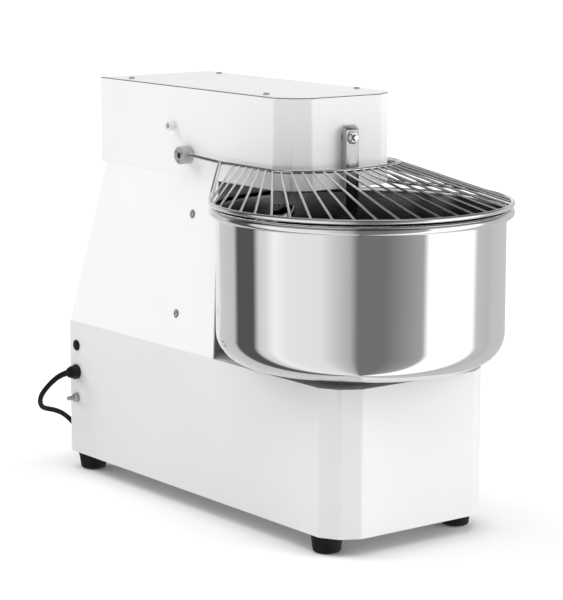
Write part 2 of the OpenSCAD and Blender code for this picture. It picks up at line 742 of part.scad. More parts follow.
// The arms fall a little from the hubs to the end wires, then run level
wire_steps = 72;
end_wire = [arm_x, end_wire_y, wire_z];
wire_end = [arm_x, pivot_y - guard_hub_r + 2, wire_z + hub_rise];
function to_left(p) = [-p[0], p[1], p[2]];
module guard_frame() color("silver") placed() swept_tube(
    concat([to_left(wire_end), to_left(end_wire)],
        [for (i = [0:wire_steps]) let (p = wire_at(wire_len * i / wire_steps)) [p[0], p[1], wire_z]],
        [end_wire, wire_end]),
    arm_wire_r, 12, [0, -1, 0], [0, 1, 0]);

module guard_hubs() color("silver") placed() mirrored_x()
    translate([-head_w / 2 - hub_gap - hub_len, pivot_y, pivot_z]) face_right() difference() {
        cylinder(r = guard_hub_r, h = hub_len);
        translate([0, 0, -1]) cylinder(r = pin_r + run, h = hub_len + 2);
    }

ring_steps = 64;
module guard_ring() color("silver") placed() swept_tube(
    concat([to_left(end_wire)],
        [for (i = [0:ring_steps]) let (a = 270 - ring_half_deg + 2 * ring_half_deg * i / ring_steps)
            [ring_r * cos(a), ring_r * sin(a), ring_z]],
        [end_wire]),
    ring_wire_r, 12, [-0.62, -0.58, -0.53], [-0.62, 0.58, 0.53]);

module guard_spokes() color("silver") placed() for (i = [1:spoke_count - 1]) {
    a = 270 - ring_half_deg + 2 * ring_half_deg * i / spoke_count;
    p = wire_at(wire_len * i / spoke_count);
    rod([ring_r * cos(a), ring_r * sin(a), ring_z], [p[0], p[1], wire_z], spoke_r);
}

// Pivot pin: a collar outside the wall, a nut inside it, and a hexagon socket in the free end
pin_set_in = 0.5;
pin_collar_r = 9;
pin_nut_t = 5;
module guard_pivot_pins() color("gray") placed() mirrored_x()
    translate([-head_w / 2 - hub_gap - hub_len + pin_set_in, pivot_y, pivot_z]) face_right() difference() {
        union() {
            cylinder(r = pin_r, h = hub_len + hub_gap + sheet + pin_nut_t + 3);
            translate([0, 0, hub_len - pin_set_in]) cylinder(r = pin_collar_r, h = hub_gap);
            translate([0, 0, hub_len + hub_gap + sheet - pin_set_in])
                cylinder(r = pin_collar_r, h = pin_nut_t);
        }
        translate([0, 0, -1]) cylinder(r = 2.2, h = 6, $fn = 6);
    }

stop_recess = 5;
module guard_stop() color("white") placed() translate([-head_w / 2 - stop_len, stop_y, stop_z])
    face_right() difference() {
        cylinder(r = stop_r, h = stop_len);
        translate([0, 0, -1]) cylinder(r = screw_r, h = stop_len + 2);
        translate([0, 0, -1]) cylinder(r = 4, h = stop_recess + 1);
    }

module guard_stop_screw() color([0.1, 0.1, 0.1]) placed()
    translate([-head_w / 2 - stop_len + stop_recess, stop_y, stop_z])
        face_left() button_screw(screw_r, 3.8, stop_len);

module guard_switch() color([0.15, 0.15, 0.17]) placed()
    translate([-head_w / 2 + sheet + 14, pivot_y - 18, pivot_z - 14]) cube([30, 36, 28]);

// ---------- fittings ----------

module cable_gland() color([0.05, 0.05, 0.05]) placed() translate([side_x, fit_y, gland_z])
    face_left() difference() {
        union() {
            cylinder(r = 10.5, h = 6, $fn = 6);
            translate([0, 0, 6]) cylinder(r1 = 9, r2 = 6, h = 9);
            translate([0, 0, -sheet - 5]) cylinder(r = 6, h = sheet + 5);
            translate([0, 0, -sheet - 5]) cylinder(r = 9, h = 5, $fn = 6);
        }
        translate([0, 0, -20]) cylinder(r = cord_r, h = 34);
    }

module blanking_plug() color([0.05, 0.05, 0.05]) placed() translate([side_x, fit_y, plug_z]) face_left() {
    cylinder(r = 7.5, h = 2.5);
    translate([0, 0, -sheet - 4]) cylinder(r = 6, h = sheet + 4);
}

// Bonding stud: a free end of full thread radius, and a thinner shank with one nut outside and one inside
stud_r = 3;
stud_shank_r = 2.4;
stud_free = 9.5;
washer_t = 1.5;
nut_t = 5;
nut_r = 5.8;
module earth_stud() color("silver") placed() translate([side_x, fit_y, stud_z]) face_left() {
    translate([0, 0, washer_t + nut_t]) cylinder(r = stud_r, h = stud_free);
    translate([0, 0, -12]) cylinder(r = stud_shank_r, h = 12 + washer_t + nut_t);
    cylinder(r = 6.5, h = washer_t);
    translate([0, 0, washer_t]) cylinder(r = nut_r, h = nut_t, $fn = 6);
    translate([0, 0, -sheet - nut_t]) cylinder(r = nut_r, h = nut_t, $fn = 6);
}

// Open box on the base floor with the contactor standing in it
box_size = [92, 100, 110];
box_wall = 3;
contactor = [45, 50, 70];
module control_box() color("gray") placed() translate([0, base_rear - 120, base_z0 + floor_t]) {
    difference() {
        cube(box_size);
        translate([box_wall, box_wall, box_wall]) cube(box_size - [2 * box_wall, 2 * box_wall, 0]);
    }
    translate([20, 25, box_wall]) cube(contactor);
}

// ---------- push buttons ----------

button_x = head_w / 2;
switch_x = button_x - 9;
plate_w = 44;
module button_plate() color([0.1, 0.1, 0.11]) placed() difference() {
    translate([button_x, button_y - plate_w / 2, stop_button_z - 24])
        cube([plate_out, plate_w, start_z - stop_button_z + 44]);
    for (z = [start_z, stop_button_z]) translate([button_x - 1, button_y, z]) face_right()
        cylinder(r = button_r + 0.4, h = plate_out + 2);
}

module push_button(z, cap_r) placed() translate([button_x - 5, button_y, z]) face_right() {
    cylinder(r = button_r, h = plate_out + 10);
    translate([0, 0, plate_out + 10]) cylinder(r = cap_r, h = 4);
}
module start_button() color([0.1, 0.5, 0.2]) push_button(start_z, button_r);
module stop_button() color([0.75, 0.08, 0.06]) push_button(stop_button_z, button_r + 4);

module button_switches() color([0.15, 0.15, 0.17]) placed() for (z = [start_z, stop_button_z])
    translate([switch_x - 34, button_y - 14, z - 14]) cube([34, 28, 28]);

// ---------- mains cord ----------

// Two rings for each stretch of a route
function smooth_route(p) =
    concat([for (i = [0:len(p) - 2], t = [0, 0.5]) spline(p, i, t)], [p[len(p) - 1]]);

module power_cord() color([0.05, 0.05, 0.05]) placed() {
    swept_tube(smooth_route(cord_route), cord_r, 10, [-1, 0, 0], [1, 0, 0]);
    swept_tube(smooth_route(cord_tail), cord_r, 10, [1, 0, 0], [1, 0, 0]);
}

module cord_coil() color([0.05, 0.05, 0.05]) placed() translate([coil_at[0], coil_at[1], 0])
    rotate_extrude() translate([coil_in, 0]) square([coil_out - coil_in, coil_h]);

module mains_plug() color([0.05, 0.05, 0.05]) placed()
    translate(cord_tail[3]) face_right() {
        cylinder(r1 = cord_r + 1, r2 = 8, h = plug_boot_len);
        translate([0, 0, plug_boot_len]) cylinder(r1 = 10, r2 = plug_body_r, h = 6);
        translate([0, 0, plug_boot_len + 6]) cylinder(r = plug_body_r, h = plug_body_len - 6);
        for (y = [-9.5, 9.5]) translate([0, y, plug_boot_len + plug_body_len])
            cylinder(r = 2.4, h = plug_pin_len, $fn = 24);
    }

base_casing();
base_floor_plate();
rubber_feet();
foot_screws();
column_left_panel();
column_right_panel();
column_front_panel();
column_rear_cover();
column_screws();
column_posts();
head_casing();
head_floor();
head_lid();
lid_screws();
breaker_bar();
breaker_bar_spacers();
breaker_bar_bolt();
gearbox_bracket();
gearbox_housing();
motor_body();
fan_cowl();
terminal_box();
jackshaft_bearings();
spiral_bearing_housing();
bowl_bearing_housing();
ball_bearings();
upper_chain();
lower_chain();
guard_pivot_pins();
guard_stop();
guard_stop_screw();
guard_switch();
cable_gland();
blanking_plug();
earth_stud();
control_box();
button_plate();
button_switches();
bowl();
bowl_flange();
bowl_bolts();
bowl_shaft();
bowl_sprocket();
spiral_hook();
spiral_shaft();
spiral_sprocket();
jackshaft();
jackshaft_sprockets();
worm_wheel();
motor_rotor();
cooling_fan();
guard_frame();
guard_hubs();
guard_ring();
guard_spokes();
start_button();
stop_button();
power_cord();
cord_coil();
mains_plug();
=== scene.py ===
"""Looks of a spiral dough mixer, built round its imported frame. Metres, +Z up, the bowl towards -Y."""
import json
import math

import bmesh
import bpy
import numpy as np
from mathutils import Matrix, Vector


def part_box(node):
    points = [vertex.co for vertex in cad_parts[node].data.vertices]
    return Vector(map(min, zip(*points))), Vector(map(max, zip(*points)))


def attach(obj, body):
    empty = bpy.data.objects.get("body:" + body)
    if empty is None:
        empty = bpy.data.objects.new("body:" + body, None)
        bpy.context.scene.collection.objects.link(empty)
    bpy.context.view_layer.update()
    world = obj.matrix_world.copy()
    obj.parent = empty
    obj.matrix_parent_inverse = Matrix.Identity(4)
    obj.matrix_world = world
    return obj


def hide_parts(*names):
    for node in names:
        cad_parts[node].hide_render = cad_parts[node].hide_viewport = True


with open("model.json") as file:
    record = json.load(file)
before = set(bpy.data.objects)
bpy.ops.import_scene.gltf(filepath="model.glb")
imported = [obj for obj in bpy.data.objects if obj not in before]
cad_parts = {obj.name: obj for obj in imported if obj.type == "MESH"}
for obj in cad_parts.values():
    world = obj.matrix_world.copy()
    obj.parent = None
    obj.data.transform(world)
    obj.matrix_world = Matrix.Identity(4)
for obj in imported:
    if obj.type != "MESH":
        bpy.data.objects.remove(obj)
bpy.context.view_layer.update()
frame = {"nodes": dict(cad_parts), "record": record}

MM = 0.001
UP, LEFT = Vector((0, 0, 1)), Vector((-1, 0, 0))

# ---------- places, read from the frame ----------

bowl_lo, bowl_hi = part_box("bowl")
BOWL_AT = Vector(((bowl_lo.x + bowl_hi.x) / 2, (bowl_lo.y + bowl_hi.y) / 2, 0))
BASE_LO, BASE_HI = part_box("base_casing")
HEAD_LO, HEAD_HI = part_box("head_casing")


def centre_of(node):
    """Middle of a node's box."""
    lo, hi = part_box(node)
    return (lo + hi) / 2


def solids_of(node):
    """Lowest and highest corner of each separate solid in a CAD node."""
    bm = bmesh.new()
    bm.from_mesh(frame["nodes"][node].data)
    bmesh.ops.remove_doubles(bm, verts=bm.verts, dist=1e-6)
    left = set(bm.verts)
    found = []
    while left:
        patch, edge = set(), [left.pop()]
        while edge:
            v = edge.pop()
            patch.add(v)
            for e in v.link_edges:
                w = e.other_vert(v)
                if w in left:
                    left.discard(w)
                    edge.append(w)
        co = np.array([v.co for v in patch])
        found.append((Vector(co.min(0)), Vector(co.max(0))))
    bm.free()
    return sorted(found, key=lambda b: tuple(b[0]))


# ---------- camera and light ----------

def grey(value):
    return (value, value, value)


def make_camera():
    """Long lens from the front left, a little above the bowl's rim."""
    data = bpy.data.cameras.new("camera")
    camera = bpy.data.objects.new("camera", data)
    bpy.context.scene.collection.objects.link(camera)
    turn, dip, roll = math.radians(-37.581), math.radians(9.703), math.radians(0.141)
    camera.rotation_mode = "QUATERNION"
    swing, tip = Matrix.Rotation(turn, 3, "Z"), Matrix.Rotation(math.pi / 2 - dip, 3, "X")
    camera.rotation_quaternion = (swing @ tip @ Matrix.Rotation(roll, 3, "Z")).to_quaternion()
    camera.location = (-1.8065, BOWL_AT.y - 2.2286, 0.7974)
    data.sensor_width = 36
    data.lens = 140.4
    data.shift_x, data.shift_y = -0.0345, -0.0235
    data.clip_start, data.clip_end = 0.05, 60
    bpy.context.scene.camera = camera


def sun(name, turn, height, strength, spread):
    """Broad soft light from a turn and a height in degrees; it lights the floor evenly."""
    data = bpy.data.lights.new(name, "SUN")
    data.energy, data.angle = strength, math.radians(spread)
    lamp = bpy.data.objects.new(name, data)
    bpy.context.scene.collection.objects.link(lamp)
    turn, height = math.radians(turn), math.radians(height)
    aim = Vector((math.cos(turn) * math.cos(height), math.sin(turn) * math.cos(height), math.sin(height)))
    lamp.rotation_mode = "QUATERNION"
    lamp.rotation_quaternion = aim.to_track_quat("Z", "Y")
    lamp.visible_glossy = False


# Strength of the even light from all round
FILL = 0.335
# Studio walls seen in polished steel: turn in degrees from +X, and the brightness there
STUDIO_WALLS = [
    (0, 0.62), (40, 0.62), (52, 0.95), (60, 0.75), (112, 0.62), (118, 0.10), (138, 0.10), (144, 0.72),
    (152, 0.82), (160, 1.05), (172, 0.92), (200, 0.88), (212, 0.66), (223, 0.50), (229, 0.19), (250, 0.19),
    (281, 0.42), (286, 1.3), (329, 1.3), (335, 0.62), (350, 0.56), (360, 0.62),
]


def make_world():
    """White room for the eye; for polished steel, upright soft walls of differing brightness."""
    world = bpy.data.worlds.new("studio")
    bpy.context.scene.world = world
    world.use_nodes = True
    nodes, links = world.node_tree.nodes, world.node_tree.links
    nodes.clear()
    add, link = nodes.new, links.new
    out = add("ShaderNodeOutputWorld")
    white, room, fill = (add("ShaderNodeBackground") for _ in range(3))
    for light, strength in ((white, 1.0), (fill, FILL)):
        light.inputs["Color"].default_value = (1, 1, 1, 1)
        light.inputs["Strength"].default_value = strength
    place, parts = add("ShaderNodeTexCoord"), add("ShaderNodeSeparateXYZ")
    link(place.outputs["Generated"], parts.inputs[0])
    turn, share, wrap = (add("ShaderNodeMath") for _ in range(3))
    turn.operation, share.operation, wrap.operation = "ARCTAN2", "MULTIPLY_ADD", "FRACT"
    link(parts.outputs["Y"], turn.inputs[0])
    link(parts.outputs["X"], turn.inputs[1])
    share.inputs[1].default_value = 1 / (2 * math.pi)
    share.inputs[2].default_value = 1
    link(turn.outputs[0], share.inputs[0])
    link(share.outputs[0], wrap.inputs[0])
    walls = add("ShaderNodeValToRGB")
    ramp = walls.color_ramp
    while len(ramp.elements) < len(STUDIO_WALLS):
        ramp.elements.new(0.5)
    for element, (degrees, bright) in zip(ramp.elements, STUDIO_WALLS):
        element.position = degrees / 360
        element.color = (*grey(bright), 1)
    link(wrap.outputs[0], walls.inputs[0])
    # Above the walls the room falls dark, with one bright panel straight overhead
    height = add("ShaderNodeValToRGB")
    for position, bright in ((0.30, 1.0), (0.42, 0.30), (0.86, 0.22)):
        height.color_ramp.elements.new(position).color = (*grey(bright), 1)
    height.color_ramp.elements[0].color = (1, 1, 1, 1)
    height.color_ramp.elements[-1].color = (0.9, 0.9, 0.9, 1)
    link(parts.outputs["Z"], height.inputs[0])
    mix = add("ShaderNodeMix")
    mix.data_type, mix.blend_type = "RGBA", "MULTIPLY"
    mix.inputs["Factor"].default_value = 1
    link(height.outputs["Color"], mix.inputs["B"])
    link(walls.outputs["Color"], mix.inputs["A"])
    link(mix.outputs["Result"], room.inputs["Color"])
    ray = add("ShaderNodeLightPath")
    glossy_mix, eye_mix = (add("ShaderNodeMixShader") for _ in range(2))
    link(ray.outputs["Is Glossy Ray"], glossy_mix.inputs[0])
    link(fill.outputs[0], glossy_mix.inputs[1])
    link(room.outputs[0], glossy_mix.inputs[2])
    link(ray.outputs["Is Camera Ray"], eye_mix.inputs[0])
    link(glossy_mix.outputs[0], eye_mix.inputs[1])
    link(white.outputs[0], eye_mix.inputs[2])
    link(eye_mix.outputs[0], out.inputs["Surface"])


def light_studio():
    make_world()
    sun("right_front", 318, 26, 1.6, 50)
    sun("left_rear", 120, 33, 1.56, 40)
    sun("overhead", 250, 80, 1.6, 60)


# ---------- materials ----------

class Finish:
    """One procedural material: short calls that add what the real surface shows."""

    def __init__(self, name, colour, rough, metal=0.0):
        self.material = bpy.data.materials.new(name)
        self.material.use_nodes = True
        self.nodes = self.material.node_tree.nodes
        self.links = self.material.node_tree.links
        self.shader = self.nodes["Principled BSDF"]
        self.shader.inputs["Metallic"].default_value = metal
        self.shader.inputs["Roughness"].default_value = rough
        self.shader.inputs["Base Color"].default_value = (*colour, 1)
        self.place = self.nodes.new("ShaderNodeTexCoord")
        self.last_bump = None

    def pattern(self, scale, stretch=(1, 1, 1), detail=4.0):
        """Noise on the piece's own coordinates."""
        mapping = self.nodes.new("ShaderNodeMapping")
        mapping.inputs["Scale"].default_value = stretch
        noise = self.nodes.new("ShaderNodeTexNoise")
        noise.inputs["Scale"].default_value = scale
        noise.inputs["Detail"].default_value = detail
        self.links.new(self.place.outputs["Object"], mapping.inputs["Vector"])
        self.links.new(mapping.outputs["Vector"], noise.inputs["Vector"])
        return noise.outputs["Fac"]

    def rings(self, scale, direction="Z", distortion=0.3):
        """Fine parallel bands, as a turned or polished surface has."""
        wave = self.nodes.new("ShaderNodeTexWave")
        wave.wave_type = "BANDS"
        wave.bands_direction = direction
        wave.inputs["Scale"].default_value = scale
        wave.inputs["Distortion"].default_value = distortion
        wave.inputs["Detail"].default_value = 2
        self.links.new(self.place.outputs["Object"], wave.inputs["Vector"])
        return wave.outputs["Fac"]

    def spread(self, source, low, high):
        span = self.nodes.new("ShaderNodeMapRange")
        span.inputs["From Min"].default_value, span.inputs["From Max"].default_value = 0.3, 0.7
        span.inputs["To Min"].default_value, span.inputs["To Max"].default_value = low, high
        self.links.new(source, span.inputs["Value"])
        return span.outputs["Result"]

    def vary_rough(self, source, low, high):
        self.links.new(self.spread(source, low, high), self.shader.inputs["Roughness"])
        return self

    def vary_colour(self, source, low, high):
        ramp = self.nodes.new("ShaderNodeValToRGB")
        ramp.color_ramp.elements[0].position, ramp.color_ramp.elements[1].position = 0.3, 0.7
        ramp.color_ramp.elements[0].color = (*low, 1)
        ramp.color_ramp.elements[1].color = (*high, 1)
        self.links.new(source, ramp.inputs[0])
        self.links.new(ramp.outputs[0], self.shader.inputs["Base Color"])
        return self

    def bump(self, source, strength, depth):
        relief = self.nodes.new("ShaderNodeBump")
        relief.inputs["Strength"].default_value = strength
        relief.inputs["Distance"].default_value = depth
        self.links.new(source, relief.inputs["Height"])
        if self.last_bump:
            self.links.new(self.last_bump, relief.inputs["Normal"])
        self.last_bump = relief.outputs["Normal"]
        self.links.new(self.last_bump, self.shader.inputs["Normal"])
        return self


def powder_coat(name, low, high):
    """White baked powder: a faint orange-peel, a cloudy change of tone and slightly uneven gloss."""
    finish = Finish(name, grey(high), 0.34)
    finish.vary_colour(finish.pattern(5, detail=3), grey(low), grey(high))
    finish.vary_rough(finish.pattern(60), 0.28, 0.42)
    finish.bump(finish.pattern(420, detail=2), 0.10, 0.0002)
    finish.bump(finish.pattern(9, detail=1), 0.05, 0.0015)
    finish.shader.inputs["Specular IOR Level"].default_value = 0.45
    return finish.material


def mirror_steel():
    """Buffed stainless sheet: near-mirror, with fine turning lines and faint wipe marks."""
    finish = Finish("mirror_steel", (0.83, 0.83, 0.835), 0.08, 1.0)
    finish.vary_rough(finish.pattern(14, (1, 1, 2.2)), 0.02, 0.055)
    finish.bump(finish.rings(900), 0.012, 0.0001)
    finish.bump(finish.pattern(3, detail=0), 0.03, 0.002)
    return finish.material


# Inside of the bowl: the rougher finish is real; the dark base colour is painted shade inside the bowl
def bowl_inside_painted_shade_steel():
    finish = Finish("bowl_inside_painted_shade_steel", (0.25, 0.25, 0.255), 0.22, 1.0)
    finish.vary_rough(finish.pattern(18, (1, 1, 3)), 0.16, 0.28)
    finish.bump(finish.rings(700), 0.03, 0.0001)
    return finish.material


def wire_steel():
    """Electropolished wire with slight drawing marks."""
    finish = Finish("guard_wire", (0.86, 0.855, 0.84), 0.16, 1.0)
    finish.vary_rough(finish.pattern(260), 0.10, 0.24)
    finish.bump(finish.pattern(900, detail=2), 0.08, 0.0001)
    return finish.material


def brushed_steel(name, value, along=(1, 1, 0.03), rough=(0.24, 0.42)):
    """Grain lines drawn out along one direction."""
    finish = Finish(name, grey(value), 0.3, 1.0)
    grain = finish.pattern(2600, along, 3)
    finish.vary_colour(grain, grey(value * 0.82), grey(min(1, value * 1.12)))
    finish.vary_rough(finish.pattern(1500, along, 2), *rough)
    finish.bump(grain, 0.10, 0.0001)
    return finish.material


def plain_steel(name, value, low, high):
    finish = Finish(name, grey(value), low, 1.0)
    finish.vary_rough(finish.pattern(180), low, high)
    finish.vary_colour(finish.pattern(90), grey(value * 0.9), grey(min(1, value * 1.06)))
    finish.bump(finish.pattern(1400, detail=2), 0.05, 0.0001)
    return finish.material


def satin_zinc(name, value, metal):
    """Dull bright plating with turning marks."""
    finish = Finish(name, grey(value), 0.5, metal)
    finish.vary_colour(finish.pattern(110), grey(value * 0.88), grey(value * 1.1))
    finish.vary_rough(finish.pattern(240), 0.4, 0.56)
    finish.bump(finish.rings(1500, "X"), 0.05, 0.0001)
    return finish.material


def moulded_plastic(name, colour, rough, grain=0.12):
    """Moulded plastic with a fine spark-eroded grain."""
    finish = Finish(name, colour, rough)
    lighter = tuple(min(1, c * 1.15 + 0.002) for c in colour)
    finish.shader.inputs["Specular IOR Level"].default_value = 0.3
    finish.vary_colour(finish.pattern(60), colour, lighter)
    finish.vary_rough(finish.pattern(240), rough * 0.85, min(1, rough * 1.15))
    finish.bump(finish.pattern(2200, detail=2), grain, 0.0001)
    return finish.material


def soft_rubber(name, value, rough):
    """Dull black rubber, a little dusty."""
    finish = Finish(name, grey(value), rough)
    finish.vary_colour(finish.pattern(45, detail=6), grey(value), grey(value * 2.2 + 0.002))
    finish.shader.inputs["Specular IOR Level"].default_value = 0.2
    finish.vary_rough(finish.pattern(120), rough * 0.9, min(1, rough * 1.12))
    finish.bump(finish.pattern(1700, detail=3), 0.18, 0.0001)
    return finish.material


def cast_iron():
    finish = Finish("cast_grey", (0.16, 0.165, 0.17), 0.6, 0.3)
    finish.vary_colour(finish.pattern(70), (0.12, 0.125, 0.13), (0.20, 0.205, 0.21))
    finish.bump(finish.pattern(700, detail=5), 0.35, 0.0004)
    return finish.material


def zinc_plate():
    """Galvanised sheet with pale spangles."""
    finish = Finish("zinc_plate", grey(0.55), 0.42, 1.0)
    spangle = finish.nodes.new("ShaderNodeTexVoronoi")
    spangle.inputs["Scale"].default_value = 130
    finish.links.new(finish.place.outputs["Object"], spangle.inputs["Vector"])
    finish.vary_colour(spangle.outputs["Color"], grey(0.44), grey(0.66))
    finish.vary_rough(finish.pattern(90), 0.34, 0.52)
    return finish.material


def motor_paint():
    finish = Finish("motor_paint", (0.10, 0.12, 0.16), 0.45)
    finish.vary_colour(finish.pattern(40), (0.08, 0.10, 0.14), (0.13, 0.15, 0.19))
    finish.bump(finish.pattern(500), 0.15, 0.0003)
    return finish.material


def bronze():
    finish = Finish("bronze", (0.62, 0.40, 0.18), 0.3, 1.0)
    finish.vary_colour(finish.pattern(60), (0.50, 0.31, 0.13), (0.68, 0.46, 0.22))
    finish.bump(finish.rings(1200), 0.05, 0.0001)
    return finish.material


MATERIALS = {
    # One white powder coat in lit and shaded copies, not different paints: the base's copy is darker (painted
    # shade), the column and head's copy is lighter (painted light), and the lid's is darkest (painted shade)
    "white_coat": powder_coat("white_coat", 0.80, 0.82),
    "column_coat_painted_light": powder_coat("column_coat_painted_light", 0.92, 0.94),
    "lid_coat": powder_coat("lid_coat", 0.69, 0.71),
    # Black for the lid's painted shadow line, and for the washers under the column screws
    "shadow_line_and_washer_black": soft_rubber("shadow_line_and_washer_black", 0.03, 0.6),
    "mirror_steel": mirror_steel(),
    "bowl_inside_painted_shade": bowl_inside_painted_shade_steel(),
    "guard_wire": wire_steel(),
    "brushed_bar": brushed_steel("brushed_bar", 0.50, (1, 1, 0.05), (0.16, 0.28)),
    "bolt_steel": plain_steel("bolt_steel", 0.80, 0.08, 0.16),
    "screw_steel": satin_zinc("screw_steel", 0.55, 0.7),
    "hook_steel": plain_steel("hook_steel", 0.60, 0.10, 0.2),
    "bearing_steel": plain_steel("bearing_steel", 0.6, 0.12, 0.2),
    "turned_steel": plain_steel("turned_steel", 0.50, 0.22, 0.36),
    "satin_zinc": satin_zinc("satin_zinc", 0.50, 0.45),
    "dark_steel": plain_steel("dark_steel", 0.16, 0.3, 0.5),
    "black_rubber": soft_rubber("black_rubber", 0.004, 0.62),
    "black_plastic": moulded_plastic("black_plastic", (0.003, 0.003, 0.0035), 0.36),
    "socket_dark": moulded_plastic("socket_dark", (0.01, 0.01, 0.01), 0.6),
    "white_plastic": moulded_plastic("white_plastic", (0.80, 0.80, 0.79), 0.34, 0.05),
    "green_plastic": moulded_plastic("green_plastic", (0.01, 0.24, 0.07), 0.25, 0.03),
    "red_plastic": moulded_plastic("red_plastic", (0.50, 0.012, 0.010), 0.25, 0.03),
    "cast_grey": cast_iron(),
    "zinc_plate": zinc_plate(),
    "motor_paint": motor_paint(),
    "bronze": bronze(),
}


def dress_cad_nodes():
    """Every carried-over node takes the finish of its slot."""
    slots = {part["node"]: part["material_slot"] for part in frame["record"]["subparts"]}
    for node, thing in frame["nodes"].items():
        if not thing.material_slots:
            thing.data.materials.append(None)
        for slot in thing.material_slots:
            slot.material = MATERIALS[slots[node]]


# ---------- mesh making ----------

# A face larger than this, in square metres, is a flat panel and keeps crisp shading at its border
FLAT_PANEL = 0.002


def new_piece(name, bm, material, body, replaces=(), smooth_below=35, flat_above=None):
    """Makes a mesh object from a bmesh, shades it, and ties it to its body."""
    bmesh.ops.remove_doubles(bm, verts=bm.verts, dist=1e-7)
    bmesh.ops.recalc_face_normals(bm, faces=bm.faces)
    limit = math.radians(smooth_below)
    for face in bm.faces:
        face.smooth = True
    for e in bm.edges:
        e.smooth = len(e.link_faces) == 2 and e.calc_face_angle(0) < limit
        if flat_above and e.smooth:
            e.smooth = max(f.calc_area() for f in e.link_faces) < flat_above
    mesh = bpy.data.meshes.new(name)
    bm.to_mesh(mesh)
    bm.free()
    return finish_piece(name, mesh, material, body, replaces)


def finish_piece(name, mesh, material, body, replaces=()):
    piece = bpy.data.objects.new(name, mesh)
    bpy.context.scene.collection.objects.link(piece)
    mesh.materials.clear()
    mesh.materials.append(MATERIALS[material])
    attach(piece, body)
    if replaces:
        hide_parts(*replaces)
    return piece


def axis_turn(axis):
    """Rotation that takes +Z to an axis."""
    return Vector(axis).normalized().to_track_quat("Z", "Y").to_matrix().to_4x4()


def bridge(bm, low, high):
    """Faces between two closed loops of as many points."""
    for k in range(len(low)):
        n = (k + 1) % len(low)
        bm.faces.new((low[k], low[n], high[n], high[k]))


def turned(bm, rings, at, axis=UP, sides=64, closed_loop=False):
    """Adds a turned shape. A ring is (radius, height); a third value of 6 makes it a hexagon across flats."""
    place = Matrix.Translation(Vector(at)) @ axis_turn(axis)
    loops = []
    for ring in rings:
        radius, height = ring[0], ring[1]
        corners = ring[2] if len(ring) > 2 else 0
        if radius < 1e-9:
            loops.append([bm.verts.new(place @ Vector((0, 0, height)))])
            continue
        loop = []
        for k in range(sides):
            a = 2 * math.pi * k / sides
            r = radius
            if corners:
                half = math.pi / corners
                r = radius / math.cos((a + half) % (2 * half) - half)
            loop.append(bm.verts.new(place @ Vector((r * math.cos(a), r * math.sin(a), height))))
        loops.append(loop)
    pairs = list(zip(loops, loops[1:]))
    if closed_loop:
        pairs.append((loops[-1], loops[0]))
    for low, high in pairs:
        if len(low) > 1 and len(high) > 1:
            bridge(bm, low, high)
            continue
        tip, rim = (low[0], high) if len(low) == 1 else (high[0], low)
        if len(rim) > 1:
            for k in range(sides):
                bm.faces.new((rim[k], rim[(k + 1) % sides], tip))
    return bm


def in_mm(rings):
    """Rings given in millimetres, in metres."""
    return [(ring[0] * MM, ring[1] * MM, *ring[2:]) for ring in rings]


def arc(centre, radius, start, end, steps):
    """Points (r, z) along an arc, angles in degrees."""
    return [
        (centre[0] + radius * math.cos(math.radians(start + (end - start) * k / steps)),
         centre[1] + radius * math.sin(math.radians(start + (end - start) * k / steps)))
        for k in range(steps + 1)
    ]


def swept(bm, path, radius, sides=16):
    """Adds a round tube along a path, without twist; radius is a number or a function of the share run."""
    points = [Vector(p) for p in path]
    count = len(points)
    ways = [(points[min(i + 1, count - 1)] - points[max(i - 1, 0)]).normalized() for i in range(count)]
    side = ways[0].orthogonal().normalized()
    loops = []
    for i, (p, way) in enumerate(zip(points, ways)):
        side = (side - way * side.dot(way)).normalized()
        other = way.cross(side)
        r = radius(i / (count - 1)) if callable(radius) else radius
        turns = [2 * math.pi * k / sides for k in range(sides)]
        loops.append([bm.verts.new(p + side * (r * math.cos(a)) + other * (r * math.sin(a))) for a in turns])
    for low, high in zip(loops, loops[1:]):
        bridge(bm, low, high)
    bm.faces.new(list(reversed(loops[0])))
    bm.faces.new(loops[-1])
    return bm


def smooth_path(points, steps):
    """Catmull-Rom line through given points."""
    p = [Vector(q) for q in points]
    out = []
    for i in range(len(p) - 1):
        a, b, c, d = p[max(i - 1, 0)], p[i], p[i + 1], p[min(i + 2, len(p) - 1)]
        for k in range(steps):
            t = k / steps
            square, cube = 2 * a - 5 * b + 4 * c - d, 3 * b - a - 3 * c + d
            out.append(0.5 * (2 * b + (c - a) * t + square * t * t + cube * t ** 3))
    return out + [p[-1]]


def fold_angle(edge):
    """Degrees between an edge's two faces, or 0 at an open edge."""
    return math.degrees(edge.calc_face_angle(0)) if len(edge.link_faces) == 2 else 0


def is_upright_fold(edge):
    along = edge.verts[0].co - edge.verts[1].co
    return 20 < fold_angle(edge) < 40 and abs(along.normalized().z) > 0.9 and along.length > 0.05


def softened(node, name, material, bend=0.0, edge=0.6 * MM):
    """A copy of a CAD node with its folds rounded to a bend radius and its sharp edges eased."""
    bm = bmesh.new()
    bm.from_mesh(frame["nodes"][node].data)
    bmesh.ops.remove_doubles(bm, verts=bm.verts, dist=2e-6)
    bmesh.ops.dissolve_limit(bm, angle_limit=math.radians(1.0), verts=bm.verts, edges=bm.edges)
    ease = {"profile": 0.5, "affect": "EDGES", "clamp_overlap": True}
    if bend:
        folds = [e for e in bm.edges if is_upright_fold(e)]
        bmesh.ops.bevel(bm, geom=folds, offset=bend, segments=4, **ease)
    sharp = [e for e in bm.edges if fold_angle(e) > 50]
    bmesh.ops.bevel(bm, geom=sharp, offset=edge, segments=3, **ease)
    body = next(b for b, nodes in frame["record"]["behaviour"]["bodies"].items() if node in nodes)
    return new_piece(name, bm, material, body, (node,), flat_above=FLAT_PANEL)


# ---------- geometry nodes ----------

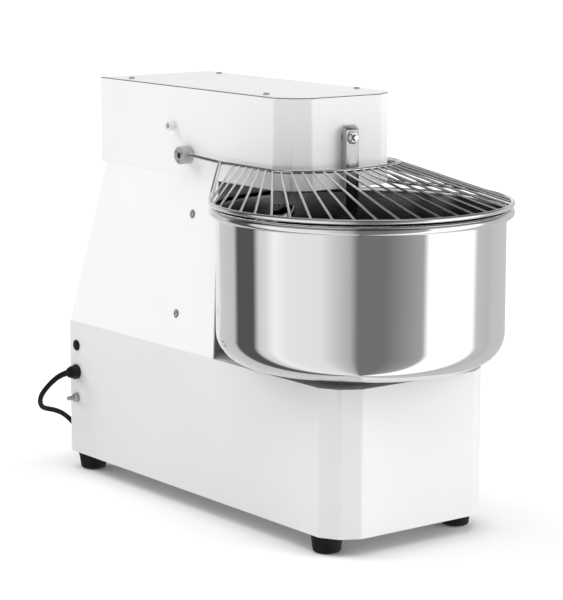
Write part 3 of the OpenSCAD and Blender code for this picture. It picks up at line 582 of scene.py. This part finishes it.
def node_tree(name, inputs):
    """A geometry tree with named inputs, its group input and output made."""
    tree = bpy.data.node_groups.new(name, "GeometryNodeTree")
    tree.interface.new_socket("Geometry", in_out="INPUT", socket_type="NodeSocketGeometry")
    tree.interface.new_socket("Geometry", in_out="OUTPUT", socket_type="NodeSocketGeometry")
    for label, kind in inputs:
        tree.interface.new_socket(label, in_out="INPUT", socket_type=kind)
    return tree, tree.nodes.new("NodeGroupInput"), tree.nodes.new("NodeGroupOutput")


def grown(name, carrier_mesh, tree, values, body, slot, replaces=()):
    """Runs a tree on a carrier mesh and keeps its result as a plain mesh piece."""
    carrier = bpy.data.objects.new(name + "_carrier", carrier_mesh)
    bpy.context.scene.collection.objects.link(carrier)
    modifier = carrier.modifiers.new("grow", "NODES")
    modifier.node_group = tree
    for item in tree.interface.items_tree:
        if item.in_out == "INPUT" and item.name in values:
            modifier[item.identifier] = values[item.name]
    graph = bpy.context.evaluated_depsgraph_get()
    evaluated = carrier.evaluated_get(graph)
    mesh = bpy.data.meshes.new_from_object(evaluated, preserve_all_data_layers=True, depsgraph=graph)
    carrier.modifiers.remove(modifier)
    bpy.data.objects.remove(carrier)
    mesh.name = name
    bm = bmesh.new()
    bm.from_mesh(mesh)
    bpy.data.meshes.remove(mesh)
    return new_piece(name, bm, slot, body, replaces)


def wires_tree():
    """Round wires along the carrier's edges, with a weld bead at each end."""
    tree, given, out = node_tree("welded_wires", [
        ("Wire radius", "NodeSocketFloat"), ("Weld radius", "NodeSocketFloat"),
        ("Finish", "NodeSocketMaterial"),
    ])
    add, link = tree.nodes.new, tree.links.new
    lines = add("GeometryNodeMeshToCurve")
    link(given.outputs["Geometry"], lines.inputs["Mesh"])
    section = add("GeometryNodeCurvePrimitiveCircle")
    section.inputs["Resolution"].default_value = 12
    link(given.outputs["Wire radius"], section.inputs["Radius"])
    tube = add("GeometryNodeCurveToMesh")
    tube.inputs["Fill Caps"].default_value = True
    link(lines.outputs["Curve"], tube.inputs["Curve"])
    link(section.outputs["Curve"], tube.inputs["Profile Curve"])
    bead = add("GeometryNodeMeshIcoSphere")
    bead.inputs["Subdivisions"].default_value = 2
    link(given.outputs["Weld radius"], bead.inputs["Radius"])
    welds = add("GeometryNodeInstanceOnPoints")
    link(given.outputs["Geometry"], welds.inputs["Points"])
    link(bead.outputs["Mesh"], welds.inputs["Instance"])
    both = add("GeometryNodeJoinGeometry")
    link(tube.outputs["Mesh"], both.inputs["Geometry"])
    link(welds.outputs["Instances"], both.inputs["Geometry"])
    solid = add("GeometryNodeRealizeInstances")
    link(both.outputs["Geometry"], solid.inputs["Geometry"])
    coat = add("GeometryNodeSetMaterial")
    link(solid.outputs["Geometry"], coat.inputs["Geometry"])
    link(given.outputs["Finish"], coat.inputs["Material"])
    link(coat.outputs["Geometry"], out.inputs["Geometry"])
    return tree


def fasteners_tree():
    """One modelled fastener set on each point, turned to the point's stored normal."""
    tree, given, out = node_tree("set_fasteners", [
        ("Fastener", "NodeSocketObject"), ("Size", "NodeSocketFloat"), ("Finish", "NodeSocketMaterial"),
    ])
    add, link = tree.nodes.new, tree.links.new
    shape = add("GeometryNodeObjectInfo")
    link(given.outputs["Fastener"], shape.inputs["Object"])
    way = add("GeometryNodeInputNamedAttribute")
    way.data_type = "FLOAT_VECTOR"
    way.inputs["Name"].default_value = "out"
    turn = add("FunctionNodeAlignRotationToVector")
    turn.axis = "Z"
    link(way.outputs["Attribute"], turn.inputs["Vector"])
    placed = add("GeometryNodeInstanceOnPoints")
    link(given.outputs["Geometry"], placed.inputs["Points"])
    link(shape.outputs["Geometry"], placed.inputs["Instance"])
    link(turn.outputs["Rotation"], placed.inputs["Rotation"])
    link(given.outputs["Size"], placed.inputs["Scale"])
    solid = add("GeometryNodeRealizeInstances")
    link(placed.outputs["Instances"], solid.inputs["Geometry"])
    coat = add("GeometryNodeSetMaterial")
    link(solid.outputs["Geometry"], coat.inputs["Geometry"])
    link(given.outputs["Finish"], coat.inputs["Material"])
    link(coat.outputs["Geometry"], out.inputs["Geometry"])
    return tree


def set_fasteners(name, places, rings, body, slot, replaces, sides=24):
    """Pieces from one turned fastener shape at (point, outward normal) places."""
    bm = turned(bmesh.new(), rings, (0, 0, 0), UP, sides)
    bmesh.ops.recalc_face_normals(bm, faces=bm.faces)
    shape_mesh = bpy.data.meshes.new(name + "_shape")
    bm.to_mesh(shape_mesh)
    bm.free()
    shape = bpy.data.objects.new(name + "_shape", shape_mesh)
    bpy.context.scene.collection.objects.link(shape)
    points = bpy.data.meshes.new(name + "_points")
    points.from_pydata([tuple(p) for p, _ in places], [], [])
    normals = points.attributes.new("out", "FLOAT_VECTOR", "POINT")
    for item, (_, normal) in zip(normals.data, places):
        item.vector = normal
    values = {"Fastener": shape, "Size": 1.0, "Finish": MATERIALS[slot]}
    piece = grown(name, points, fasteners_tree(), values, body, slot, replaces)
    bpy.data.objects.remove(shape)
    return piece


# ---------- cord ----------

CORD_R = 3.5 * MM
CORD_ROUTE = [
    (-141, 463, 137), (-148, 463, 136), (-157, 465, 132), (-164, 470, 124.5), (-168, 478, 115),
    (-169, 487, 105), (-166, 496, 94.5), (-158, 504, 84.5), (-146, 510, 79), (-131, 515, 74),
    (-115, 519, 66), (-99, 523, 53), (-84, 527, 36.5), (-69, 530, 20), (-54, 532, 8),
    (-38, 533, 3.5), (-20, 533, 3.5), (-2, 532, 3.5), (17, 531, 3.5), (36, 530, 3.5),
]
BOOT_START = (-130, 463, 137.2)
COIL_AT = (36, 574.7)
TAIL = [(46, 529, 17.5), (56, 528, 17.5), (66, 527, 17.5)]
# Each turn of the coil: radius of its middle line and its height, outside and bottom first
COIL_TURNS = [(44.7, 3.5), (37.7, 3.5), (37.7, 10.5), (44.7, 10.5), (44.7, 17.5)]


def from_bowl(point):
    """Millimetres from the bowl's axis and the floor, to the row frame in metres."""
    return Vector((point[0] * MM, BOWL_AT.y + point[1] * MM, point[2] * MM))


def coil_points(step=12):
    """The wound length: each turn holds its place, then eases over to the next in its last quarter."""
    out = []
    for i, (radius, height) in enumerate(COIL_TURNS):
        after = COIL_TURNS[min(i + 1, len(COIL_TURNS) - 1)]
        for degrees in range(0, 360, step):
            ease = max(0.0, (degrees - 270) / 90)
            ease = ease * ease * (3 - 2 * ease)
            r = radius + (after[0] - radius) * ease
            z = height + (after[1] - height) * ease
            a = math.radians(degrees - 90)
            out.append((COIL_AT[0] + r * math.cos(a), COIL_AT[1] + r * math.sin(a), z))
    last = COIL_TURNS[-1]
    return out + [(COIL_AT[0], COIL_AT[1] - last[0], last[1])]


# Millimetres: the plug's tapered boot and its body along the cord, and the gap between its pins' middles
PLUG_BOOT, PLUG_BODY, PIN_APART = 17, 27, 19


def make_plug():
    """Round moulded plug with a ribbed grip and two pins."""
    lo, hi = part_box("mains_plug")
    at, way = from_bowl(TAIL[-1]), Vector((1, 0, 0))
    full = (hi.z - lo.z) / 2 / MM
    rings = [(0, 0), (4.4, 0), (4.8, 1)]
    for k in range(5):
        z, r = 3 + k * 2.6, 5.0 + k * 0.55
        rings += [(r, z), (r + 0.5, z + 0.5), (r + 0.5, z + 1.4), (r - 0.4, z + 1.9)]
    rings += [(8.2, PLUG_BOOT), (10.5, PLUG_BOOT + 0.8), (full - 1.3, PLUG_BOOT + 4.9)]
    for k in range(4):
        z = PLUG_BOOT + 6.5 + k * 3.0
        rings += [(full, z), (full, z + 1.8), (full - 0.6, z + 2.2), (full - 0.6, z + 2.7)]
    end = PLUG_BOOT + PLUG_BODY
    rings += [(full, end - 7), (full, end - 1.4), (full - 0.9, end), (0, end)]
    grip = turned(bmesh.new(), in_mm(rings), at, way, 48)
    body = new_piece("plug_body", grip, "black_plastic", "frame", ("mains_plug",))
    bm = bmesh.new()
    pin = in_mm([(0, -2), (2.4, -2), (2.4, 17.2), (1.7, 18.6), (0, 19)])
    for side in (-PIN_APART / 2, PIN_APART / 2):
        turned(bm, pin, at + way * (end * MM) + Vector((0, side * MM, 0)), way, 24)
    pins = new_piece("plug_pins", bm, "bolt_steel", "frame")
    return [body, pins]


def make_cord():
    """Mains lead: gland to floor, a neat coil close behind, and its tail into the plug."""
    loose = smooth_path([from_bowl(p) for p in CORD_ROUTE], 3)
    for point in loose:
        point.z = max(point.z, CORD_R)
    coil = [from_bowl(p) for p in coil_points()]
    tail = smooth_path([coil[-1]] + [from_bowl(p) for p in TAIL], 2)
    path = loose + coil[1:] + tail[1:]
    tube = swept(bmesh.new(), path, CORD_R, 12)
    cord = new_piece("mains_cord", tube, "black_rubber", "frame", ("power_cord", "cord_coil"),
                     smooth_below=70)
    boot_path = smooth_path([from_bowl(p) for p in [BOOT_START] + CORD_ROUTE[:4]], 8)
    boot = swept(bmesh.new(), boot_path, boot_radius, 24)
    new_piece("strain_relief", boot, "black_plastic", "frame")
    tie = make_tie()
    plug = make_plug()


def boot_radius(share):
    """Tapered relief with shallow flexing grooves."""
    groove = 0.35 * MM if 0.25 < share < 0.95 and (share * 9) % 1 < 0.4 else 0
    return (4.7 - 1.0 * share) * MM - groove


def make_tie():
    """Strap round the coil's section, on its far side."""
    r_in, r_out, top, thick, half = 34.1, 48.3, 21.2, 0.8, 3.0
    loop = [(r_in, 0.2), (r_out, 0.2), (r_out, top - 6), (r_out - 1, top), (r_in + 1, top), (r_in, top - 6)]
    mid = Vector(((r_in + r_out) / 2, top / 2, 0))
    bm = bmesh.new()
    rows = []
    for across in (-half, half):
        for grow in (0, thick):
            row = []
            for r, z in loop:
                away = Vector((r, z, 0)) - mid
                q = Vector((r, z, 0)) + away.normalized() * grow
                row.append(bm.verts.new(from_bowl((COIL_AT[0] + across, COIL_AT[1] + q.x, max(0.1, q.y)))))
            rows.append(row)
    order = [rows[0], rows[1], rows[3], rows[2]]
    for low, high in zip(order, order[1:] + order[:1]):
        bridge(bm, low, high)
    return new_piece("coil_tie", bm, "black_plastic", "frame")


# ---------- casings ----------

def make_casings():
    # The shells wear lit and shaded copies of one white coat: painted shade on the base and lid, painted light on
    # the column and head
    softened("base_casing", "base_shell", "white_coat", bend=2.0 * MM, edge=0.6 * MM)
    softened("head_casing", "head_shell", "column_coat_painted_light", bend=2.0 * MM, edge=0.5 * MM)
    softened("head_lid", "lid_panel", "lid_coat", bend=2.0 * MM, edge=0.5 * MM)
    for side in ("left", "right"):
        softened(f"column_{side}_panel", f"{side}_side_panel", "column_coat_painted_light", edge=0.6 * MM)
    softened("column_rear_cover", "rear_panel", "column_coat_painted_light", edge=0.5 * MM)
    make_lid_shadow_line()


def cut_outline(lo, hi, front_cut, grow):
    """Outline of a casing with two-bend front corners, a little larger than the casing."""
    m = front_cut / (1 + math.sqrt(3))
    x0, x1, y0, y1 = lo.x - grow, hi.x + grow, lo.y - grow, hi.y + grow
    left = [(x0, y1), (x0, y0 + front_cut), (x0 + m, y0 + m), (x0 + front_cut, y0)]
    return left + [(x1 - front_cut, y0), (x1 - m, y0 + m), (x1, y0 + front_cut), (x1, y1)]


def make_lid_shadow_line():
    """Thin black strip that shows as a dark line round the lid's edge: a painted shadow standing in for the shade
    in the gap under the lid.
    """
    top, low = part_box("head_lid")[0].z + 0.8 * MM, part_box("head_lid")[0].z - 0.05 * MM
    bm = bmesh.new()
    loops = []
    for grow, z in ((-0.1 * MM, low), (-0.1 * MM, top), (-0.62 * MM, top), (-0.62 * MM, low)):
        loops.append([bm.verts.new((x, y, z)) for x, y in cut_outline(HEAD_LO, HEAD_HI, 34 * MM, grow)])
    for low, high in zip(loops, loops[1:] + loops[:1]):
        bridge(bm, low, high)
    new_piece("lid_seal", bm, "shadow_line_and_washer_black", "frame")


# ---------- bowl ----------

def make_bowl():
    """Spun bowl with a rolled rim; its inside is duller than its buffed outside, and darker there in painted shade.
    """
    top, floor = bowl_hi.z, bowl_lo.z
    rim = (bowl_hi.x - bowl_lo.x) / 2
    bead, wall, turn = 5.5 * MM, 1.5 * MM, 38 * MM
    outer = rim - 10 * MM
    rings = [(0, floor), (outer - turn - 30 * MM, floor)]
    rings += arc((outer - turn, floor + turn), turn, -90, 0, 14)
    rings += [(outer, top - 60 * MM), (outer, top - 2.1 * bead)]
    rings += arc((rim - bead, top - bead), bead, -150, 165, 22)
    rings += [(outer - wall, top - 1.3 * bead), (outer - wall, top - 60 * MM)]
    rings += arc((outer - turn, floor + turn), turn - wall, 0, -90, 14)
    rings += [(outer - turn - 30 * MM, floor + wall), (0, floor + wall)]
    bm = turned(bmesh.new(), rings, BOWL_AT, UP, 192)
    bowl = new_piece("bowl_shell", bm, "mirror_steel", "bowl", ("bowl",))
    bowl.data.materials.append(MATERIALS["bowl_inside_painted_shade"])
    # Faces inside the bowl take the dark inside steel: painted shade
    for face in bowl.data.polygons:
        middle = face.center
        reach = math.hypot(middle.x - BOWL_AT.x, middle.y - BOWL_AT.y)
        inward = face.normal.x * (middle.x - BOWL_AT.x) + face.normal.y * (middle.y - BOWL_AT.y) < 0
        on_floor = face.normal.z > 0.5 and middle.z < floor + turn
        if reach < outer and middle.z < top - bead and (inward or on_floor):
            face.material_index = 1
    return bowl


# ---------- guard ----------

RING_R, RING_WIRE = 187 * MM, 3 * MM
RING_HALF = 130
ARM_WIRE, SPOKE_WIRE = 2.5 * MM, 1.5 * MM
SPOKES = 32
FRONT_ARC, CORNER = 150 * MM, 35 * MM
END_WIRE_Y = 163 * MM
SPOKE_CLEAR = 18 * MM


class GuardLines:
    """The guard's two main lines, in metres from the bowl's axis."""

    def __init__(self):
        lo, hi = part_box("guard_frame")
        self.arm = hi.x - ARM_WIRE
        self.z = lo.z + ARM_WIRE
        self.hub_z = hi.z - ARM_WIRE
        self.back = hi.y - BOWL_AT.y
        self.front = lo.y + ARM_WIRE - BOWL_AT.y
        self.ring_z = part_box("guard_ring")[0].z + RING_WIRE
        self.arc_y = self.front + FRONT_ARC
        self.corner_x = self.arm - CORNER
        self.corner_y = self.arc_y - math.sqrt((FRONT_ARC - CORNER) ** 2 - self.corner_x ** 2)
        self.turn = math.atan2(self.arc_y - self.corner_y, self.corner_x)
        self.arm_run = END_WIRE_Y - self.corner_y - SPOKE_CLEAR
        self.corner_run = CORNER * self.turn
        self.front_run = FRONT_ARC * (math.pi - 2 * self.turn)
        self.length = 2 * (self.arm_run + self.corner_run) + self.front_run

    def inner(self, s):
        """Point on the inner wire, s along it from the left arm."""
        if s > self.length / 2:
            p = self.inner(self.length - s)
            return Vector((-p.x, p.y, p.z))
        if s < self.arm_run:
            x, y = -self.arm, self.corner_y + self.arm_run - s
        elif s < self.arm_run + self.corner_run:
            a = math.pi + (s - self.arm_run) / CORNER
            x, y = -self.corner_x + CORNER * math.cos(a), self.corner_y + CORNER * math.sin(a)
        else:
            a = math.pi + self.turn + (s - self.arm_run - self.corner_run) / FRONT_ARC
            x, y = FRONT_ARC * math.cos(a), self.arc_y + FRONT_ARC * math.sin(a)
        return Vector((x, y + BOWL_AT.y, self.z))

    def ring(self, share):
        a = math.radians(270 - RING_HALF + 2 * RING_HALF * share)
        return Vector((RING_R * math.cos(a), RING_R * math.sin(a) + BOWL_AT.y, self.ring_z))


def make_guard():
    lines = GuardLines()
    inner = [lines.inner(lines.length * i / 160) for i in range(161)]
    back = lines.back + BOWL_AT.y
    hub_end = Vector((-lines.arm, back, lines.hub_z))
    arm_end = Vector((-lines.arm, END_WIRE_Y + BOWL_AT.y, lines.z))
    start = smooth_path([hub_end, arm_end, inner[0]], 6)[:-1]
    end = [Vector((-p.x, p.y, p.z)) for p in reversed(start)]
    wire = swept(bmesh.new(), start + inner + end, ARM_WIRE, 16)
    new_piece("guard_inner_wire", wire, "guard_wire", "guard", ("guard_frame",), smooth_below=60)
    ring = [lines.ring(i / 200) for i in range(201)]
    turn_in = round_corner(arm_end, ring[0], ring[8])
    turn_out = [Vector((-p.x, p.y, p.z)) for p in reversed(turn_in)]
    path = turn_in + ring[8:-8] + turn_out
    wire = swept(bmesh.new(), path, RING_WIRE, 16)
    new_piece("guard_outer_ring", wire, "guard_wire", "guard", ("guard_ring",), smooth_below=60)
    carrier = bpy.data.meshes.new("spoke_lines")
    ends = []
    for i in range(1, SPOKES):
        ends += [tuple(lines.ring(i / SPOKES)), tuple(lines.inner(lines.length * i / SPOKES))]
    carrier.from_pydata(ends, [(2 * i, 2 * i + 1) for i in range(SPOKES - 1)], [])
    values = {"Wire radius": SPOKE_WIRE, "Weld radius": 2.5 * MM, "Finish": MATERIALS["guard_wire"]}
    grown("guard_spoke_wires", carrier, wires_tree(), values, "guard", "guard_wire", ("guard_spokes",))


def round_corner(start, corner, end, steps=14):
    """Straight wire to near a corner, a quadratic bend round it, and on to the end."""
    leave = start.lerp(corner, 0.72)
    bend = [leave.lerp(corner, k / steps).lerp(corner.lerp(end, k / steps), k / steps) for k in range(steps)]
    return [start, start.lerp(leave, 0.5)] + bend


# Socket grub screw set in a hub's face, and the circle that three of them stand on
GRUB_SCREW = in_mm([(0, 0), (1.6, 0), (1.6, 2.7), (1.1, 2.7, 6), (1.1, 1.4, 6), (0, 1.4)])
GRUB_RING = 7.4 * MM


def make_hubs():
    """Turned hubs with eased edges and three dark grub screws round each pivot."""
    bm, dark = bmesh.new(), bmesh.new()
    for lo, hi in solids_of("guard_hubs"):
        middle = (lo + hi) / 2
        side = -1 if middle.x < 0 else 1
        radius, length = (hi.z - lo.z) / 2, hi.x - lo.x
        face = Vector((middle.x + side * length / 2, middle.y, middle.z))
        way = Vector((side, 0, 0))
        bore, ease = 4.1 * MM, 1.0 * MM
        turned(bm, [
            (bore, -length), (radius - ease, -length), (radius, -length + ease), (radius, -ease),
            (radius - ease, 0), (bore + 0.4 * MM, 0), (bore, -0.4 * MM),
        ], face, way, 48, closed_loop=True)
        for lean in (35, 155, 275):
            a = math.radians(lean)
            at = face + Vector((0, GRUB_RING * math.cos(a), GRUB_RING * math.sin(a))) - way * (2.5 * MM)
            turned(dark, GRUB_SCREW, at, way, 24)
    new_piece("hub_collars", bm, "satin_zinc", "guard", ("guard_hubs",))
    new_piece("hub_grub_screws", dark, "socket_dark", "guard")


# ---------- spiral ----------

HOOK_ROD = 11 * MM
# Where the hook's rod leaves its hub in degrees, its turns, and how its pitch closes up towards the tip
HOOK_START, HOOK_TURNS, HOOK_CLOSING = -100, 1.35, 1.15


def make_spiral():
    """Forged rod hook, ground smooth, its lower end tapered to a rounded tip."""
    lo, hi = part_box("spiral_hook")
    shaft = centre_of("spiral_shaft")
    rod = HOOK_ROD
    reach = (hi.x - lo.x) / 2 - rod
    low = lo.z + rod
    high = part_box("spiral_shaft")[0].z + 3 * MM
    path = []
    for i in range(181):
        t = i / 180
        grow = min(1, t / 0.16)
        r = reach * grow * grow * (3 - 2 * grow)
        a = math.radians(HOOK_START - 360 * HOOK_TURNS * t)
        z = high - (high - low) * (1 - (1 - t) ** HOOK_CLOSING)
        path.append(Vector((shaft.x + r * math.cos(a), shaft.y + r * math.sin(a), z)))
    hook = swept(bmesh.new(), path, lambda share: rod * hook_taper(share), 28)
    new_piece("hook_rod", hook, "hook_steel", "spiral", ("spiral_hook",), smooth_below=50)
    s_lo, s_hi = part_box("spiral_shaft")
    hub_r, hub_top = (s_hi.x - s_lo.x) / 2, s_lo.z + 18 * MM
    ease, stem = 1.2 * MM, 12.5 * MM
    rings = [(0, s_lo.z), (hub_r - ease, s_lo.z), (hub_r, s_lo.z + ease), (hub_r, hub_top - ease),
             (hub_r - ease, hub_top), (stem, hub_top), (stem, s_hi.z - ease), (stem - 1 * MM, s_hi.z), (0, s_hi.z)]
    bm = turned(bmesh.new(), rings, (shaft.x, shaft.y, 0), UP, 56)
    new_piece("hook_hub", bm, "satin_zinc", "spiral", ("spiral_shaft",))


def hook_taper(share):
    """Full thickness, then a taper over the last tenth with a rounded tip."""
    if share < 0.9:
        return 1.0
    t = (share - 0.9) / 0.1
    return (1 - 0.35 * t) * math.sqrt(max(0.02, 1 - t ** 6))


# ---------- breaker bar ----------

def make_breaker():
    softened("breaker_bar", "breaker_blade", "brushed_bar", edge=0.9 * MM)
    lo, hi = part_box("breaker_bar_bolt")
    bar_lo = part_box("breaker_bar")[0]
    middle = (lo + hi) / 2
    face = Vector((middle.x, bar_lo.y, middle.z))
    front = Vector((0, -1, 0))
    height = bar_lo.y - lo.y
    back = bar_lo.y - hi.y
    flat, nut, shank = 6.5 * MM, 4.2 * MM, 4 * MM
    rings = [(0, back), (6.3 * MM, back, 6), (6.3 * MM, back + 6.4 * MM, 6), (shank, back + 6.4 * MM), (shank, 0)]
    rings += in_mm([(8.2, 0), (8.2, 1.2), (7.9, 1.4), (6.5, 1.5, 6)])
    rings += [
        (flat, nut - 0.8 * MM, 6), (flat - 0.5 * MM, nut), (shank + 0.6 * MM, nut), (shank, nut - 0.5 * MM),
        (shank, height - 0.8 * MM), (shank - 0.7 * MM, height), (0, height),
    ]
    bolt = turned(bmesh.new(), rings, face, front, 48)
    new_piece("bar_bolt", bolt, "bolt_steel", "frame", ("breaker_bar_bolt",))


# ---------- fasteners and fittings ----------

SCREW = in_mm([
    (0, -6.0), (2.0, -6.0), (2.0, 0.02), (4.2, 0.02), (4.25, 0.6), (3.9, 1.2), (3.2, 1.8), (2.3, 2.2),
    (1.45, 2.25, 6), (1.35, 0.9, 6), (0, 0.8),
])
WASHER = in_mm([(2.2, 0.05), (5.3, 0.05), (5.3, 0.35), (4.9, 0.55), (2.2, 0.55)])
BOWL_BOLT = in_mm([
    (0, -5.5), (4, -5.5), (4, 0.02), (6.5, 0.02), (7, 0.5), (6.6, 2.2), (5.2, 3.4), (3.0, 3.8), (2.6, 3.8, 6),
    (2.5, 1.8, 6), (0, 1.7),
])


def column_screw_places():
    """Heads on the leaning sides and rear: their outward ways come from the panels' slopes."""
    side_lo, side_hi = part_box("column_right_panel")
    rear_lo, rear_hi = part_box("column_rear_cover")
    rise = side_hi.z - side_lo.z
    side_way = Vector((rise, 0, BASE_HI.x - HEAD_HI.x)).normalized()
    rear_way = Vector((0, rise, rear_hi.y - rear_lo.y - 2 * MM)).normalized()
    places = []
    for lo, hi in solids_of("column_screws"):
        middle = (lo + hi) / 2
        on_rear = middle.y > rear_lo.y - 12 * MM
        way = rear_way if on_rear else Vector((math.copysign(side_way.x, middle.x), 0, side_way.z))
        # the solid runs from 6 mm below its seat to 2.3 mm above it
        places.append((middle + way * (1.85 * MM), way))
    return places


def places_at(node, height):
    """Upward places in the middle of each solid of a node, at a height found from its lowest corner."""
    return [(Vector(((lo.x + hi.x) / 2, (lo.y + hi.y) / 2, height(lo))), UP) for lo, hi in solids_of(node)]


def make_fasteners():
    lid = places_at("lid_screws", lambda lo: lo.z + 6 * MM)
    set_fasteners("lid_screw_heads", lid, SCREW, "frame", "screw_steel", ("lid_screws",))
    column = column_screw_places()
    set_fasteners("column_screw_heads", column, SCREW, "frame", "screw_steel", ("column_screws",))
    bm = bmesh.new()
    for at, way in column:
        turned(bm, WASHER, at, way, 32, closed_loop=True)
    new_piece("screw_washers", bm, "shadow_line_and_washer_black", "frame")
    bolts = places_at("bowl_bolts", lambda lo: bowl_lo.z + 1.5 * MM)
    set_fasteners("bowl_bolt_heads", bolts, BOWL_BOLT, "bowl", "screw_steel", ("bowl_bolts",))


def make_feet():
    """Moulded rubber feet: a flanged top, a slight taper and a rounded sole with its screw's recess."""
    bm = bmesh.new()
    for lo, hi in solids_of("rubber_feet"):
        h = hi.z - lo.z
        top = (hi.x - lo.x) / 2
        sole = top - 3 * MM
        at = ((lo.x + hi.x) / 2, (lo.y + hi.y) / 2, lo.z)
        turned(bm, [
            (3 * MM, 0.4 * h), (7 * MM, 0.4 * h), (7 * MM, 0.6 * MM), (7.6 * MM, 0), (sole - 3 * MM, 0),
            (sole - 1.6 * MM, 0.5 * MM), (sole - 0.4 * MM, 1.7 * MM), (sole, 3.2 * MM),
            (top - 0.8 * MM, h - 4.4 * MM), (top - 0.5 * MM, h - 3.8 * MM), (top, h - 3.2 * MM),
            (top, h - 0.8 * MM), (top - 0.6 * MM, h), (3 * MM, h),
        ], at, UP, 56, closed_loop=True)
    new_piece("moulded_feet", bm, "black_rubber", "frame", ("rubber_feet",))


def on_base_wall(node):
    """Where a fitting stands on the base's left wall, and the height of its inner end below that wall."""
    lo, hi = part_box(node)
    return Vector((BASE_LO.x, (lo.y + hi.y) / 2, (lo.z + hi.z) / 2)), BASE_LO.x - hi.x


def make_gland():
    """Nylon gland: hexagon body and domed nut."""
    middle, inside = on_base_wall("cable_gland")
    locknut = 8.4 * MM
    rings = [(3.6 * MM, inside), (locknut, inside, 6), (locknut, inside + 5 * MM, 6), (6 * MM, inside + 5 * MM)]
    rings += in_mm([
        (6, 0), (10, 0), (10, 0.8), (9.1, 1.0, 6), (9.1, 5.4, 6), (8.5, 6), (8.3, 6.1), (8.3, 9, 8), (7.6, 12),
        (6.3, 14.4), (5.2, 15), (3.6, 15),
    ])
    gland = turned(bmesh.new(), rings, middle, LEFT, 48, closed_loop=True)
    new_piece("gland_body", gland, "black_plastic", "frame", ("cable_gland",))


def make_blank():
    """Domed push-in plug."""
    middle, inside = on_base_wall("blanking_plug")
    rings = [(0, inside), (6 * MM, inside)]
    rings += in_mm([(6, 0), (7.4, 0), (7.5, 0.9), (6.7, 1.9), (4.5, 2.4), (0, 2.5)])
    cap = turned(bmesh.new(), rings, middle, LEFT, 48)
    new_piece("blank_cap", cap, "black_plastic", "frame", ("blanking_plug",))


def make_stud():
    """Threaded stud with a washer, a chamfered nut outside and another inside."""
    middle, inside = on_base_wall("earth_stud")
    tip = BASE_LO.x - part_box("earth_stud")[0].x
    stud = [(0, inside)]
    pitch = 1.0 * MM
    for k in range(int((tip - inside) / pitch)):
        z = inside + k * pitch
        stud += [(2.6 * MM, z + 0.1 * MM), (3.0 * MM, z + 0.45 * MM), (3.0 * MM, z + 0.6 * MM)]
    stud += [(2.4 * MM, tip), (0, tip)]
    bm = turned(bmesh.new(), stud, middle, LEFT, 32)
    washer = in_mm([(3.02, 0), (6.4, 0), (6.5, 0.3), (6.5, 1.3), (6.3, 1.5), (3.02, 1.5)])
    turned(bm, washer, middle, LEFT, 48, closed_loop=True)
    for base in (1.5, -7):
        nut = [(3.02, base), (4.8, base), (5, base + 0.5, 6), (5, base + 4.4, 6), (4.9, base + 5), (3.02, base + 5)]
        turned(bm, in_mm(nut), middle, LEFT, 48, closed_loop=True)
    new_piece("bonding_stud", bm, "screw_steel", "frame", ("earth_stud",))


def make_stop():
    """White plastic stop with a recess in its face for a screw."""
    lo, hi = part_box("guard_stop")
    middle = (lo + hi) / 2
    face = Vector((lo.x, middle.y, middle.z))
    length, radius = hi.x - lo.x, (hi.z - lo.z) / 2
    rings = [(2.05 * MM, -length), (radius, -length), (radius, -1.4 * MM), (radius - 0.5 * MM, -0.5 * MM),
             (radius - 1.4 * MM, 0)]
    rings += in_mm([(4.3, 0), (4.0, -0.4), (4.0, -5), (2.05, -5)])
    buffer = turned(bmesh.new(), rings, face, LEFT, 48, closed_loop=True)
    new_piece("stop_buffer", buffer, "white_plastic", "frame", ("guard_stop",))


def make_buttons():
    softened("button_plate", "button_surround", "black_plastic", edge=0.6 * MM)
    for node, material in (("start_button", "green_plastic"), ("stop_button", "red_plastic")):
        lo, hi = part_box(node)
        middle = (lo + hi) / 2
        cap = (hi.z - lo.z) / 2
        depth = hi.x - lo.x
        neck, crown = 9 * MM, 3.3 * MM
        under = depth - 4 * MM
        rings = [(0, 0), (neck, 0), (neck, under), (cap - 0.6 * MM, under), (cap, depth - crown)]
        for degrees in (20, 40, 60, 75, 85):
            a = math.radians(degrees)
            rings.append((cap * math.cos(a) ** 0.5, depth - crown + crown * math.sin(a)))
        rings.append((0, depth))
        bm = turned(bmesh.new(), rings, (lo.x, middle.y, middle.z), (1, 0, 0), 48)
        new_piece(node.split("_")[0] + "_push_cap", bm, material, node, (node,))


# ---------- stage ----------

def make_floor():
    mesh = bpy.data.meshes.new("floor")
    half = 14.0
    corners = [(-half, -half, 0), (half, -half, 0), (half, half, 0), (-half, half, 0)]
    mesh.from_pydata(corners, [], [(0, 1, 2, 3)])
    floor = bpy.data.objects.new("floor", mesh)
    bpy.context.scene.collection.objects.link(floor)
    finish = Finish("pale_floor", grey(0.93), 0.9)
    finish.vary_colour(finish.pattern(0.6, detail=1), grey(0.925), grey(0.94))
    finish.shader.inputs["Specular IOR Level"].default_value = 0.0
    mesh.materials.append(finish.material)
    floor.location.z = -0.0004
    floor.visible_glossy = False


make_camera()
make_cord()
light_studio()
bpy.context.scene.view_settings.view_transform = "Standard"
dress_cad_nodes()
make_casings()
make_bowl()
make_guard()
make_hubs()
make_spiral()
make_breaker()
make_fasteners()
make_feet()
make_gland()
make_blank()
make_stud()
make_stop()
make_buttons()
make_floor()
